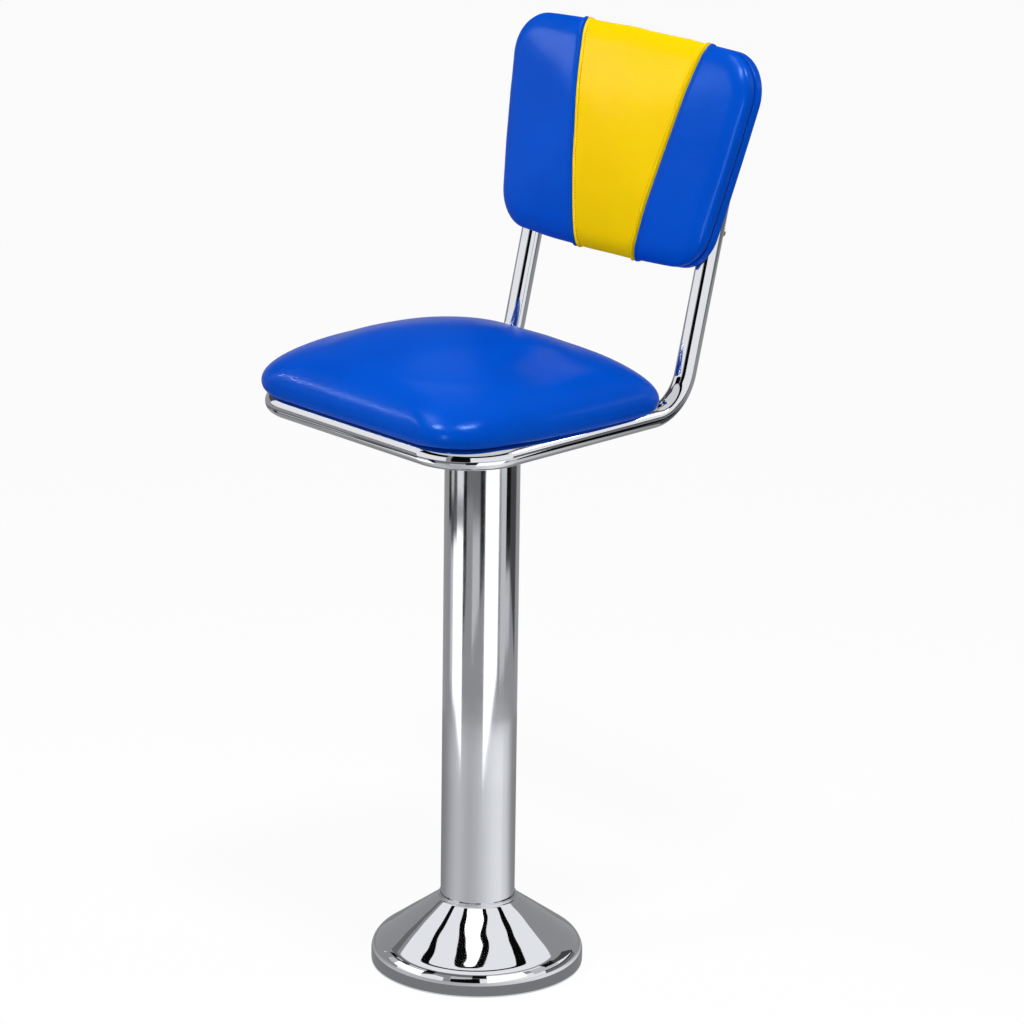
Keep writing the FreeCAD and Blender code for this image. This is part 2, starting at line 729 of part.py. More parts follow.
def build_back_pad():
    """Front pad: plywood board, crowned foam and the sewn cover."""
    def form(skin, drop):
        return crowned_form(back_outline, back_height / 2, pad_back, pad_under_roll, pad_widest_depth,
                            pad_edge_rise, pad_edge_radius, pad_crown, skin, drop)

    outside, inside = form(0.0, 0.0), form(vinyl, overrun)
    split_back_cover(outside.cut(inside))
    reach = 2 * (back_bottom + back_height)
    keep = Part.makeBox(2 * reach, reach, reach, vec(-reach, 0, pad_back))
    board_top = pad_back + back_board_thickness
    pocket = slab(back_outline, back_board_inset - board_clearance, pad_back - overrun,
                  board_top + board_clearance)
    foam = inside.common(keep).cut(pocket)
    board = slab(back_outline, back_board_inset, pad_back, board_top)
    for u, v in back_screw_places():
        board = board.cut(back_bore(tee_nut_radius + hole_clearance / 2, u, v))
        room = Part.makeCylinder(tee_nut_flange_radius + hole_clearance,
                                 tee_nut_flange_thickness + 2 * hole_clearance, vec(u, v, board_top))
        foam = foam.cut(room)
    parts["back_foam"] = in_back_plane(foam)
    parts["back_board"] = in_back_plane(board)


def build_back_fasteners():
    """Screws through the uprights and rear panel into tee nuts in the pad's board."""
    board_top = pad_back + back_board_thickness
    head_face = -tube_radius - cushion_gap
    screws, nuts = [], []
    for u, v in back_screw_places():
        head = rounded_head(back_screw_head_radius, back_screw_head_height,
                            vec(u, v, head_face - back_screw_head_height))
        tip = board_top + tee_nut_flange_thickness
        shank = Part.makeCylinder(back_screw_radius, tip - head_face, vec(u, v, head_face))
        screws.append(in_back_plane(head.fuse(shank)))
        barrel_bottom = pad_back + tee_nut_setback
        barrel = Part.makeCylinder(tee_nut_radius, board_top - barrel_bottom, vec(u, v, barrel_bottom))
        flange = Part.makeCylinder(tee_nut_flange_radius, tee_nut_flange_thickness, vec(u, v, board_top))
        bore = back_bore(back_screw_radius + hole_clearance / 2, u, v)
        nuts.append(in_back_plane(barrel.fuse(flange).cut(bore)))
    parts["back_screws"] = Part.makeCompound(screws)
    parts["back_tee_nuts"] = Part.makeCompound(nuts)


build_floor_flange()
build_column()
build_base_cover()
build_frame()
build_upright_plugs()
build_straps()
build_swivel_plate()
build_thrust_bearing()
build_bearing_housing()
build_spindle()
build_seat_cushion()
build_rear_panel()
build_back_pad()
build_back_fasteners()
save_all()
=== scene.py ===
# %% [markdown]
# A diner counter stool with a back. The swivel, the column and the hidden fittings come from the
# imported model as they are. The bent frame and the spun cover are made again with finer faces, and the
# cushion, the back pad and the rear panel are built as real upholstery is cut and sewn.

# %% Load the imported model
import bmesh
import bpy
import json
import math
import numpy as np
from mathutils import Matrix, Vector, noise

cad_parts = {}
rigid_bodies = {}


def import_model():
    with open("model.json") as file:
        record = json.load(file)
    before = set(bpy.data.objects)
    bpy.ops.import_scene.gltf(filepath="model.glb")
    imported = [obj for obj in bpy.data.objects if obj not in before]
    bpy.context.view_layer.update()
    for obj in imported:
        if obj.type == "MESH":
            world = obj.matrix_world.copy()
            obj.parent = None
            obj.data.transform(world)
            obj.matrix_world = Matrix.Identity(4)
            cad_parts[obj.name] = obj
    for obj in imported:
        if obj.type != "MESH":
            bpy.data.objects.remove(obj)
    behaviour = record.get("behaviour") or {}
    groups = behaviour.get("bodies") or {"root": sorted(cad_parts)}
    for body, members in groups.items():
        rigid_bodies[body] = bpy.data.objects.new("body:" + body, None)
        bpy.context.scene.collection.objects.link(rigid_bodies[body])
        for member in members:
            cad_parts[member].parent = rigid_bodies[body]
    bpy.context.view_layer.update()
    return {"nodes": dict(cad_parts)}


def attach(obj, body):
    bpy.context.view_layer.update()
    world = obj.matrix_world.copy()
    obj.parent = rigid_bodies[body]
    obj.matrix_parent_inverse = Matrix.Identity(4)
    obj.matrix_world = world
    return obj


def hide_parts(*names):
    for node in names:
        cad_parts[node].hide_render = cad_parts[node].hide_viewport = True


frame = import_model()
nodes = frame["nodes"]

# %% [markdown]
# All lengths are in metres, and sizes of the real stool are easier to read in millimetres, so one
# name turns millimetres into metres. Colours are written as on a paint card, in sRGB hex, and one
# function turns them into the linear values that the shaders need.

# %% Units and colours
mm = 0.001


def linear(hex_colour):
    channels = []
    for start in (1, 3, 5):
        value = int(hex_colour[start:start + 2], 16) / 255
        if value <= 0.04045:
            channels.append(value / 12.92)
        else:
            channels.append(((value + 0.055) / 1.055) ** 2.4)
    return (*channels, 1.0)


# %% [markdown]
# A material is a small graph of nodes. One function adds a node, sets what differs from its defaults
# and links its inputs. A socket is named, or numbered where a node has several of the same name.

# %% Helpers for materials
def add_node(tree, kind, settings=None, links=None):
    node = tree.nodes.new(kind)
    for name, value in (settings or {}).items():
        if isinstance(name, int) or name in node.inputs:
            node.inputs[name].default_value = value
        else:
            setattr(node, name, value)
    for name, (source, output) in (links or {}).items():
        tree.links.new(source.outputs[output], node.inputs[name])
    return node


def empty_material(name):
    material = bpy.data.materials.new(name)
    material.use_nodes = True
    material.node_tree.nodes.clear()
    return material, material.node_tree


def new_material(name, settings):
    material, tree = empty_material(name)
    shader = add_node(tree, "ShaderNodeBsdfPrincipled", settings)
    add_node(tree, "ShaderNodeOutputMaterial", None, {"Surface": (shader, "BSDF")})
    place = add_node(tree, "ShaderNodeTexCoord")
    return material, tree, shader, place


def vary_roughness(tree, shader, place, scale, low, high):
    """Roughness that drifts between two values, as handling and polishing leave it."""
    cloud = add_node(tree, "ShaderNodeTexNoise", {"Scale": scale, "Detail": 4.0},
                     {"Vector": (place, "Object")})
    spread = add_node(tree, "ShaderNodeMapRange", {"From Min": 0.3, "From Max": 0.7,
                                                   "To Min": low, "To Max": high},
                      {"Value": (cloud, "Fac")})
    tree.links.new(spread.outputs["Result"], shader.inputs["Roughness"])
    return cloud


def vary_colour(tree, shader, cloud, output, dark, light, low=0.35, high=0.65):
    """Base colour between two shades, driven by a pattern."""
    share = add_node(tree, "ShaderNodeMapRange", {"From Min": low, "From Max": high},
                     {"Value": (cloud, output)})
    mix = add_node(tree, "ShaderNodeMix", {"data_type": "RGBA", 6: linear(dark), 7: linear(light)},
                   {0: (share, "Result")})
    tree.links.new(mix.outputs[2], shader.inputs["Base Color"])


def raise_bumps(tree, shader, pattern, output, depth, strength=1.0):
    """Relief of a given depth in metres from a pattern."""
    bump = add_node(tree, "ShaderNodeBump", {"Distance": depth, "Strength": strength},
                    {"Height": (pattern, output)})
    tree.links.new(bump.outputs["Normal"], shader.inputs["Normal"])


# %% [markdown]
# The camera stands where the photograph was taken: about fifty degrees round to the sitter's left,
# looking sixteen degrees down, with a slight roll. Its axes are worked out from these angles.

# %% Camera
camera_place = Vector((3.8702, -3.2177, 1.9890))
camera_azimuth = 49.86
camera_elevation = 15.86
camera_roll = 0.79
camera_lens = 157.12


def camera_axes(azimuth, elevation, roll):
    a, e, r = (math.radians(angle) for angle in (azimuth, elevation, roll))
    ahead = Vector((-math.sin(a) * math.cos(e), math.cos(a) * math.cos(e), -math.sin(e)))
    level = Vector((math.cos(a), math.sin(a), 0))
    above = level.cross(ahead)
    right = level * math.cos(r) + above * math.sin(r)
    up = above * math.cos(r) - level * math.sin(r)
    return Matrix((right, up, -ahead)).transposed()


camera_data = bpy.data.cameras.new("camera")
camera_data.lens = camera_lens
camera_data.sensor_width = 36
camera_data.clip_end = 100
camera = bpy.data.objects.new("camera", camera_data)
bpy.context.scene.collection.objects.link(camera)
camera.matrix_world = camera_axes(camera_azimuth, camera_elevation, camera_roll).to_4x4()
camera.location = camera_place
bpy.context.scene.camera = camera
bpy.context.scene.view_settings.view_transform = "Standard"
print("camera", tuple(camera.location), "lens", camera_data.lens)

# %% [markdown]
# The studio is a white sweep under soft light. The world and the floor look white to the camera and
# in reflections, and the floor still darkens where the stool shades it.

# %% World and floor
def place_round(azimuth, elevation, distance, target):
    a, e = math.radians(azimuth), math.radians(elevation)
    way = Vector((math.sin(a) * math.cos(e), -math.cos(a) * math.cos(e), math.sin(e)))
    return Vector(target) + way * distance


def seen_directly(tree):
    """1 for camera, glossy and transmission rays, 0 for the rest."""
    path = add_node(tree, "ShaderNodeLightPath")
    pair = add_node(tree, "ShaderNodeMath", {"operation": "MAXIMUM"},
                    {0: (path, "Is Camera Ray"), 1: (path, "Is Glossy Ray")})
    return add_node(tree, "ShaderNodeMath", {"operation": "MAXIMUM"},
                    {0: (pair, "Value"), 1: (path, "Is Transmission Ray")})


world_light = 0.42
world = bpy.data.worlds.new("white studio")
bpy.context.scene.world = world
world.use_nodes = True
tree = world.node_tree
tree.nodes.clear()
seen = seen_directly(tree)
strength = add_node(tree, "ShaderNodeMapRange", {"To Min": world_light, "To Max": 1.0},
                    {"Value": (seen, "Value")})
background = add_node(tree, "ShaderNodeBackground", {"Color": linear("#FFFFFF")},
                      {"Strength": (strength, "Result")})
add_node(tree, "ShaderNodeOutputWorld", None, {"Surface": (background, "Background")})


def flat_mesh(name, corners, faces):
    mesh = bpy.data.meshes.new(name)
    mesh.from_pydata([tuple(c) for c in corners], [], faces)
    obj = bpy.data.objects.new(name, mesh)
    bpy.context.scene.collection.objects.link(obj)
    return obj


floor_reach = 12.0
floor_shine, floor_glow = 0.9, 1.02
floor_corners = [(x * floor_reach, y * floor_reach, 0) for x, y in ((-1, -1), (1, -1), (1, 1), (-1, 1))]
floor = flat_mesh("floor", floor_corners, [(0, 1, 2, 3)])
paper, tree = empty_material("white paper sweep")
seen = seen_directly(tree)
share = add_node(tree, "ShaderNodeMath", {"operation": "MULTIPLY", 1: floor_shine}, {0: (seen, "Value")})
matte = add_node(tree, "ShaderNodeBsdfDiffuse", {"Color": linear("#F4F4F4")})
glow = add_node(tree, "ShaderNodeEmission", {"Color": linear("#FFFFFF"), "Strength": floor_glow})
sweep = add_node(tree, "ShaderNodeMixShader", None,
                 {0: (share, "Value"), 1: (matte, "BSDF"), 2: (glow, "Emission")})
add_node(tree, "ShaderNodeOutputMaterial", None, {"Surface": (sweep, "Shader")})
floor.data.materials.append(paper)

# %% [markdown]
# Three large soft boxes light the stool. Five more are seen only by reflections in the vinyl, and
# each stands where a highlight of the photograph mirrors it. A lamp is aimed at the spot it lights,
# and its azimuth is counted from the camera, to the right.

# %% Soft boxes
lamp_distance = 2.6
seat_spot, corner_spot, ridge_spot = (0.0, 0.0, 0.72), (0.17, -0.18, 0.73), (0.0, -0.19, 0.73)
back_spot, back_corner_spot = (0.08, 0.20, 1.00), (0.25, 0.20, 1.05)


def soft_box(name, target, azimuth, elevation, size, power):
    lamp = bpy.data.lights.new(name, "AREA")
    lamp.shape = "RECTANGLE"
    lamp.size, lamp.size_y = size
    lamp.energy = power
    obj = bpy.data.objects.new(name, lamp)
    bpy.context.scene.collection.objects.link(obj)
    obj.location = place_round(camera_azimuth + azimuth, elevation, lamp_distance, target)
    aim = Vector(target) - obj.location
    obj.rotation_euler = aim.to_track_quat("-Z", "Y").to_euler()
    return obj


shiny_pieces = bpy.data.collections.new("pieces with shine")


def gloss_box(name, target, azimuth, elevation, size, power):
    """A lamp that only the reflections of the vinyl see, for its shine."""
    obj = soft_box(name, target, azimuth, elevation, size, power)
    obj.visible_diffuse = False
    obj.light_linking.receiver_collection = shiny_pieces


for lamp_settings in (("key_box", corner_spot, 17, 70, (0.50, 0.42), 34),
                      ("front_box", seat_spot, -68, 43, (0.50, 0.34), 17)):
    soft_box(*lamp_settings).visible_glossy = False
soft_box("right_box", seat_spot, 92, 24, (0.9, 0.20), 5)
gloss_box("corner_shine", corner_spot, 17, 70, (0.80, 0.26), 260)
gloss_box("left_shine", corner_spot, -98, 60, (0.60, 0.60), 30)
gloss_box("back_shine", back_corner_spot, -64, 42, (0.12, 0.50), 170)
gloss_box("edge_shine", back_spot, -33, 0, (0.12, 1.0), 60)
gloss_box("ridge_shine", ridge_spot, -104, 22, (1.2, 0.07), 20)
print("lamps", len(bpy.data.lights))

# %% [markdown]
# Chrome shows nothing but its surroundings, so a photographer hangs black and grey cards round it to
# draw its edges. A picture of a studio could be wrapped round the scene instead, but cards need no
# picture and can stand near the stool, where they bend the bands as real ones do. Only reflections
# see them, and their angles are counted from the camera, to the right.

# %% Card paper
def card_material(name, brightness, one_sided=False):
    """A glowing card; a one-sided card is clear when it is seen from behind."""
    material, tree = empty_material(name)
    card_glow = add_node(tree, "ShaderNodeEmission", {"Color": linear("#FFFFFF"), "Strength": brightness})
    if one_sided:
        clear = add_node(tree, "ShaderNodeBsdfTransparent")
        facing = add_node(tree, "ShaderNodeNewGeometry")
        card = add_node(tree, "ShaderNodeMixShader", None,
                        {0: (facing, "Backfacing"), 1: (card_glow, "Emission"), 2: (clear, "BSDF")})
    else:
        card = card_glow
    add_node(tree, "ShaderNodeOutputMaterial", None, {"Surface": (card, 0)})
    return material


card_black = card_material("black card", 0.004)
card_dark = card_material("dark card", 0.09)
card_dim = card_material("dim card", 0.22)
card_grey = card_material("grey card", 0.42)
card_light = card_material("light card", 0.80)
card_silver = card_material("bright card", 1.3)
card_white = card_material("white card", 2.1)


def reflected_only(name, corners, faces, material):
    """A sheet of paper that only reflections see."""
    obj = flat_mesh(name, corners, faces)
    obj.visible_camera = False
    obj.visible_diffuse = False
    obj.visible_shadow = False
    obj.visible_transmission = False
    obj.visible_volume_scatter = False
    obj.data.materials.append(material)
    return obj


def ring_card(name, start, end, radius, lows, high, material):
    """A curved card from one angle to another, with a height at each end of its lower edge."""
    steps = max(2, int(abs(end - start) / 3))
    corners = []
    for step in range(steps + 1):
        share = step / steps
        foot = place_round(camera_azimuth + start + (end - start) * share, 0, radius, (0, 0, 0))
        low = lows[0] + (lows[1] - lows[0]) * share
        corners += [(foot.x, foot.y, low), (foot.x, foot.y, high)]
    faces = [(2 * i, 2 * i + 2, 2 * i + 3, 2 * i + 1) for i in range(steps)]
    reflected_only(name, corners, faces, material)


def card_stacks(name, radius, stacks):
    """Cards one above the other: angles, heights of the lowest foot, then each card's top and paper."""
    number = 0
    for start, end, lows, *cards in stacks:
        for high, material in cards:
            ring_card("%s_%02d" % (name, number), start, end, radius, lows, high, material)
            lows = (high, high)
            number += 1


# %% [markdown]
# The near ring is for the column, which mirrors what stands low and close. Each of its stacks of
# cards ends at the same step, and a low row stands on that step.

# %% Near ring of cards
fence, fence_step, fence_top = 0.70, 0.455, 0.54
on_step, on_floor = (fence_step, fence_step), (0.0, 0.0)
card_stacks("card_near", fence, [
    (-178, -117, (0.08, 0.12), (fence_step, card_grey)),
    (-116, -104, (0.10, 0.10), (0.36, card_grey), (fence_step, card_black)),
    (-104, -92, (0.14, 0.12), (0.33, card_light), (0.40, card_dark), (fence_step, card_light)),
    (-92, -79, (0.12, 0.10), (0.34, card_white), (fence_step, card_dark)),
    (-79, -56, (0.10, 0.03), (0.36, card_white), (0.40, card_dim), (fence_step, card_silver)),
    (-56, -45, (0.16, 0.28), (0.33, card_dark), (fence_step, card_black)),
    (-45, -26, (0.30, 0.16), (0.40, card_grey), (fence_step, card_dim)),
    (-26, -4, (0.19, 0.26), (0.37, card_light), (fence_step, card_dim)),
    (-4, 11, (0.26, 0.30), (0.33, card_dark), (fence_step, card_black)),
    (11, 52, (0.01, 0.16), (fence_step, card_white)),
    (52, 60, (0.30, 0.36), (fence_step, card_grey)),
    (60, 78, (0.14, 0.17), (fence_step, card_light)),
    (78, 95, (0.17, 0.20), (0.30, card_light), (fence_step, card_black)),
    (95, 125, (0.30, 0.16), (fence_step, card_dark)),
    (125, 178, (0.12, 0.08), (fence_step, card_grey)),
    (-178, -56, on_step, (fence_top, card_dim)), (-56, -45, on_step, (fence_top, card_black)),
    (-45, -4, on_step, (fence_top, card_dim)), (-4, 12, on_step, (fence_top, card_black)),
    (12, 78, on_step, (fence_top, card_silver)), (78, 100, on_step, (fence_top, card_black)),
    (100, 178, on_step, (fence_top, card_grey)),
])

# %% [markdown]
# The far ring is the room. The uprights, the rails and the vinyl mirror it.

# %% Far ring of cards
wall_ring, wall_top, high_ring = 3.3, 3.6, 1.9
card_stacks("card_wall", wall_ring, [
    (-180, -125, on_floor, (1.2, card_grey), (wall_top, card_dark)),
    (-125, -92, on_floor, (0.54, card_grey), (0.62, card_black), (0.68, card_silver), (0.80, card_dark),
     (3.0, card_silver), (wall_top, card_dark)),
    (-92, -35, on_floor, (2.0, card_silver), (wall_top, card_black)),
    (-35, -27, on_floor, (wall_top, card_grey)),
    (-27, 4, on_floor, (wall_top, card_black)),
    (4, 78, on_floor, (2.4, card_silver), (wall_top, card_black)),
    (78, 130, on_floor, (0.60, card_dim), (0.78, card_black), (3.0, card_silver), (wall_top, card_dark)),
    (130, 180, on_floor, (1.2, card_grey), (wall_top, card_black)),
])
ring_card("card_high_right", 130, 178, high_ring, (2.4, 2.4), 4.0, card_black)
ring_card("card_high_left", -155, -95, high_ring, (2.3, 2.3), 4.0, card_dark)

# %% [markdown]
# More paper lies on the floor and hangs under the seat, for the cover's cone and the underside. The
# paper on the floor glows with painted light from two sides, so its brightness changes with the angle.

# %% Paper on the floor and under the seat
def ring_faces(count):
    """Faces between the pairs of inner and outer points of a closed flat ring."""
    return [(2 * i, 2 * ((i + 1) % count), 2 * ((i + 1) % count) + 1, 2 * i + 1) for i in range(count)]


def ring_corners(inner, outer, height, count, middle, across, toward):
    """Inner and outer points in pairs; a size is a half width and a half depth."""
    corners = []
    for step in range(count):
        angle = 2 * math.pi * step / count
        for wide, deep in (inner, outer):
            spot = middle + across * (wide * math.cos(angle)) + toward * (deep * math.sin(angle))
            corners.append((spot.x, spot.y, height))
    return corners


def flat_ring(name, inner, outer, height, count, material):
    """A round ring of paper on the floor."""
    origin, x_way, y_way = Vector((0, 0, 0)), Vector((1, 0, 0)), Vector((0, 1, 0))
    corners = ring_corners((inner, inner), (outer, outer), height, count, origin, x_way, y_way)
    return reflected_only(name, corners, ring_faces(count), material)


full_brightness = 1.6
brightness_round = [(-180, 0.27), (-115, 0.30), (-62, 0.98), (-18, 0.40), (56, 1.5), (98, 0.85),
                    (122, 0.32), (180, 0.27)]


# Painted light: the paper glows brighter and darker by angle, as if it were lit from two sides.
def painted_two_sided_light(strength):
    """Paper whose brightness is given at some angles from the camera and blended between them."""
    material, tree = empty_material("paper round the foot")
    place = add_node(tree, "ShaderNodeTexCoord")
    turn = add_node(tree, "ShaderNodeTexGradient", {"gradient_type": "RADIAL"},
                    {"Vector": (place, "Object")})
    ramp = add_node(tree, "ShaderNodeValToRGB", None, {"Fac": (turn, "Fac")})
    ramp.color_ramp.interpolation = "B_SPLINE"
    elements = ramp.color_ramp.elements
    for index, (offset, bright) in enumerate(brightness_round):
        where = 0.5 + offset / 360
        element = elements[index] if index < 2 else elements.new(where)
        element.position = where
        level = bright / full_brightness
        element.color = (level, level, level, 1)
    paper_glow = add_node(tree, "ShaderNodeEmission", {"Strength": strength}, {"Color": (ramp, "Color")})
    add_node(tree, "ShaderNodeOutputMaterial", None, {"Surface": (paper_glow, "Emission")})
    return material


foot_paper, sweep_end = 0.168, 0.95
for name, inner, outer, strength in (("card_floor", foot_paper, fence, full_brightness),
                                     ("card_mid_floor", fence, sweep_end, 1.7)):
    obj = flat_ring(name, inner, outer, 0, 96, painted_two_sided_light(strength))
    obj.rotation_euler = (0, 0, math.radians(camera_azimuth - 90))
    obj.location = (0, 0, 2 * mm)

overhead_height, overhead_shift = 0.655, 0.03


def overhead_ring(name, inner, outer, brightness):
    """A ring under the seat that glows downwards only, set a little to the left of the column."""
    middle, across, toward = (place_round(camera_azimuth + offset, 0, reach, (0, 0, 0))
                              for offset, reach in ((-90, overhead_shift), (90, 1), (0, 1)))
    corners = ring_corners(inner, outer, overhead_height, 96, middle, across, toward)
    paper = card_material(name, brightness, one_sided=True)
    obj = reflected_only(name, corners, ring_faces(96), paper)
    if obj.data.polygons[0].normal.z > 0:
        obj.data.flip_normals()


# Each ring's name, outer size and brightness; it starts where the one before it ends
ceiling_sizes = [("oval", (0.118, 0.135), 2.1), ("outline", (0.165, 0.165), 0.004),
                 ("inner_glow", (0.335, 0.32), 1.3), ("outer_band", (0.41, 0.41), 0.004),
                 ("outer_glow", (0.74, 0.74), 1.3), ("shade", (1.6, 1.6), 0.42)]
inner = (0.05, 0.05)
for card_name, outer, brightness in ceiling_sizes:
    overhead_ring("card_" + card_name, inner, outer, brightness)
    inner = outer
flat_ring("card_foot", 0.128, foot_paper, 1 * mm, 64, card_material("paper in the shade", 0.30))
flat_ring("card_far_floor", sweep_end, wall_ring, 1 * mm, 64, card_grey)

# %% [markdown]
# Polished chromium reflects a little over half of the light and is faintly blue. The plated steel
# under it was buffed, so its polish is not quite even: the roughness drifts and the surface has a
# waviness of up to a quarter of a millimetre over some centimetres.

# %% Chrome
chromium = "#C6C8CD"


def chrome(name, low, high, wave_depth):
    material, tree, shader, place = new_material(
        name, {"Base Color": linear(chromium), "Metallic": 1.0, "Roughness": low})
    vary_roughness(tree, shader, place, 30, low, high)
    waves = add_node(tree, "ShaderNodeTexNoise", {"Scale": 14, "Detail": 1.0},
                     {"Vector": (place, "Object")})
    raise_bumps(tree, shader, waves, "Fac", wave_depth)
    return material


chrome_tube = chrome("chromed steel tube", 0.035, 0.075, 0.06 * mm)
chrome_pillar = chrome("chromed steel pillar", 0.09, 0.15, 0.10 * mm)
chrome_spun = chrome("chromed spun cover", 0.02, 0.045, 0.25 * mm)
chrome_small = chrome("chromed screws", 0.10, 0.18, 0.02 * mm)


def assign(names, material):
    for name in names:
        nodes[name].data.materials.clear()
        nodes[name].data.materials.append(material)


assign(["column_tube"], chrome_pillar)
assign(["back_screws"], chrome_small)
assign(["neck_ring"], chrome_spun)
print("chrome finishes", sum("chromed" in material.name for material in bpy.data.materials))

# %% [markdown]
# A mirror shows every facet of the mesh behind it, so the bent frame and the spun cover are made again
# with the same measures and many more faces. These helpers turn rings of points into closed forms.

# %% Helpers for meshes
def soft_noise(x, y, z, size, seed):
    """A smooth random number from about -0.5 to 0.5, the same on every run."""
    return noise.noise(Vector((x / size, y / size, z / size + seed)))


def finish_mesh(name, corners, faces):
    """Object from points and faces, smooth, with every face looking outwards."""
    mesh = bpy.data.meshes.new(name)
    mesh.from_pydata([tuple(p) for p in corners], [], faces)
    work = bmesh.new()
    work.from_mesh(mesh)
    bmesh.ops.recalc_face_normals(work, faces=work.faces)
    work.to_mesh(mesh)
    work.free()
    mesh.polygons.foreach_set("use_smooth", [True] * len(mesh.polygons))
    mesh.update()
    obj = bpy.data.objects.new(name, mesh)
    bpy.context.scene.collection.objects.link(obj)
    return obj


def rings_to_mesh(name, rings, close_low=True, close_high=True):
    """A closed form from rings of points; each end is closed by a fan about its middle."""
    count = len(rings[0])
    corners = [point for ring in rings for point in ring]
    faces = []
    for r in range(len(rings) - 1):
        for c in range(count):
            after = (c + 1) % count
            faces.append((r * count + c, r * count + after, (r + 1) * count + after, (r + 1) * count + c))
    ends = [(0, close_low), ((len(rings) - 1) * count, close_high)]
    for first, closed in ends:
        if closed:
            middle = len(corners)
            corners.append(tuple(np.mean(corners[first:first + count], axis=0)))
            faces += [(first + c, first + (c + 1) % count, middle) for c in range(count)]
    return finish_mesh(name, corners, faces)


# %% [markdown]
# The frame is one chromed tube, bent cold round formers: down one upright, along the rails and up the
# other side. A curve with a round bevel would do, but its rings bunch up in the bends, so a ring of
# points is carried along a line whose bends turn by two degrees at a time.

# %% Bent frame
tube_radius = 12.7
rear_bend_y, frame_height, upright_lean = 165.7, 687.6, 13.1
front_rail_y, front_corner_half, rear_half = -190.0, 198.7, 154.3
front_bend, rear_bend = 63.5, 57.0
upright_length = 390.0
lean = math.radians(upright_lean)


def bent_line(points, radii):
    """Points along straight runs with a tangent arc at each inner point, two degrees apart."""
    line = [points[0]]
    for before, corner, after, radius in zip(points, points[1:], points[2:], radii):
        back, ahead = (before - corner).normalized(), (after - corner).normalized()
        half_angle = back.angle(ahead) / 2
        bisector = (back + ahead).normalized()
        centre = corner + bisector * (radius / math.sin(half_angle))
        first = corner + back * (radius / math.tan(half_angle)) - centre
        last = corner + ahead * (radius / math.tan(half_angle)) - centre
        turn = first.angle(last)
        axis = first.cross(last).normalized()
        steps = max(int(math.degrees(turn) / 2), 2)
        for step in range(steps + 1):
            line.append(centre + Matrix.Rotation(turn * step / steps, 3, axis) @ first)
    line.append(points[-1])
    return line


def split_runs(line, longest):
    """The same line with its long straight runs divided, so that faces stay compact."""
    fine = [line[0]]
    for start, end in zip(line, line[1:]):
        count = max(1, int((end - start).length / longest))
        fine += [start.lerp(end, step / count) for step in range(1, count + 1)]
    return fine


def tube_mesh(name, line, radius, around=72):
    """A closed tube along a line; its ring turns no more than the line does."""
    side = Vector((1, 0, 0))
    rings = []
    for index, place in enumerate(line):
        before, after = line[max(index - 1, 0)], line[min(index + 1, len(line) - 1)]
        ahead = (after - before).normalized()
        side = (side - ahead * side.dot(ahead)).normalized()
        up = ahead.cross(side)
        ring = []
        for step in range(around):
            angle = 2 * math.pi * step / around
            ring.append((place + side * (radius * math.cos(angle)) + up * (radius * math.sin(angle))) * mm)
        rings.append(ring)
    return rings_to_mesh(name, rings)


def frame_line():
    along_upright = Vector((0, math.sin(lean), math.cos(lean)))
    right = [Vector((front_corner_half, front_rail_y, frame_height)),
             Vector((rear_half, rear_bend_y, frame_height)),
             Vector((rear_half, rear_bend_y, frame_height)) + along_upright * upright_length]
    left = [Vector((-point.x, point.y, point.z)) for point in reversed(right)]
    return split_runs(bent_line(left + right, [rear_bend, front_bend, front_bend, rear_bend]), 12)


bent_frame = tube_mesh("bent_frame", frame_line(), tube_radius)
bent_frame.data.materials.append(chrome_tube)
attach(bent_frame, "seat")
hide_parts("seat_frame")
print("bent frame", len(bent_frame.data.polygons), "faces")

# %% [markdown]
# The cover is a disc of thin steel, spun on a lathe over a wooden form and then plated. Its profile is
# turned about the column here, as a screw modifier would do, but in code, because a spun cover is
# never quite round: its skin gets a waviness of a tenth of a millimetre, which bends the reflections.

# %% Spun cover
cover_radius, cover_rim_height, cover_shoulder = 127.0, 13.5, 24.0
cover_neck_radius, cover_neck_height, cover_lip = 46.95, 82.6, 2.4
cover_sheet = 1.2
cover_wave, cover_wave_size = 0.16, 26.0


def cover_skin(depth):
    """Radius and height from the rim's foot to the lip, at a depth under the outer skin."""
    centre_r, centre_z = cover_radius - cover_shoulder, cover_rim_height
    to_neck_r, to_neck_z = cover_neck_radius - centre_r, cover_neck_height - centre_z
    distance = math.hypot(to_neck_r, to_neck_z)
    turn = math.atan2(to_neck_z, to_neck_r) - math.acos(cover_shoulder / distance)
    radius = cover_shoulder - depth
    neck = cover_neck_radius - depth
    points = [(cover_radius - depth, height) for height in np.linspace(0, centre_z, 8)[:-1]]
    for angle in np.linspace(0, turn, 22):
        points.append((centre_r + radius * math.cos(angle), centre_z + radius * math.sin(angle)))
    start_r, start_z = points[-1]
    end_z = start_z + (neck - start_r) / -math.sin(turn) * math.cos(turn)
    for share in np.linspace(0, 1, 42)[1:]:
        points.append((start_r + (neck - start_r) * share, start_z + (end_z - start_z) * share))
    top = cover_neck_height + cover_lip
    points += [(neck, end_z + (top - end_z) * share) for share in (0.15, 0.5, 0.85, 1.0)]
    return points


def shared_points(obj, distance):
    """Joins points that lie together, as where a turned profile closes on itself."""
    work = bmesh.new()
    work.from_mesh(obj.data)
    bmesh.ops.remove_doubles(work, verts=work.verts, dist=distance)
    bmesh.ops.recalc_face_normals(work, faces=work.faces)
    work.to_mesh(obj.data)
    work.free()


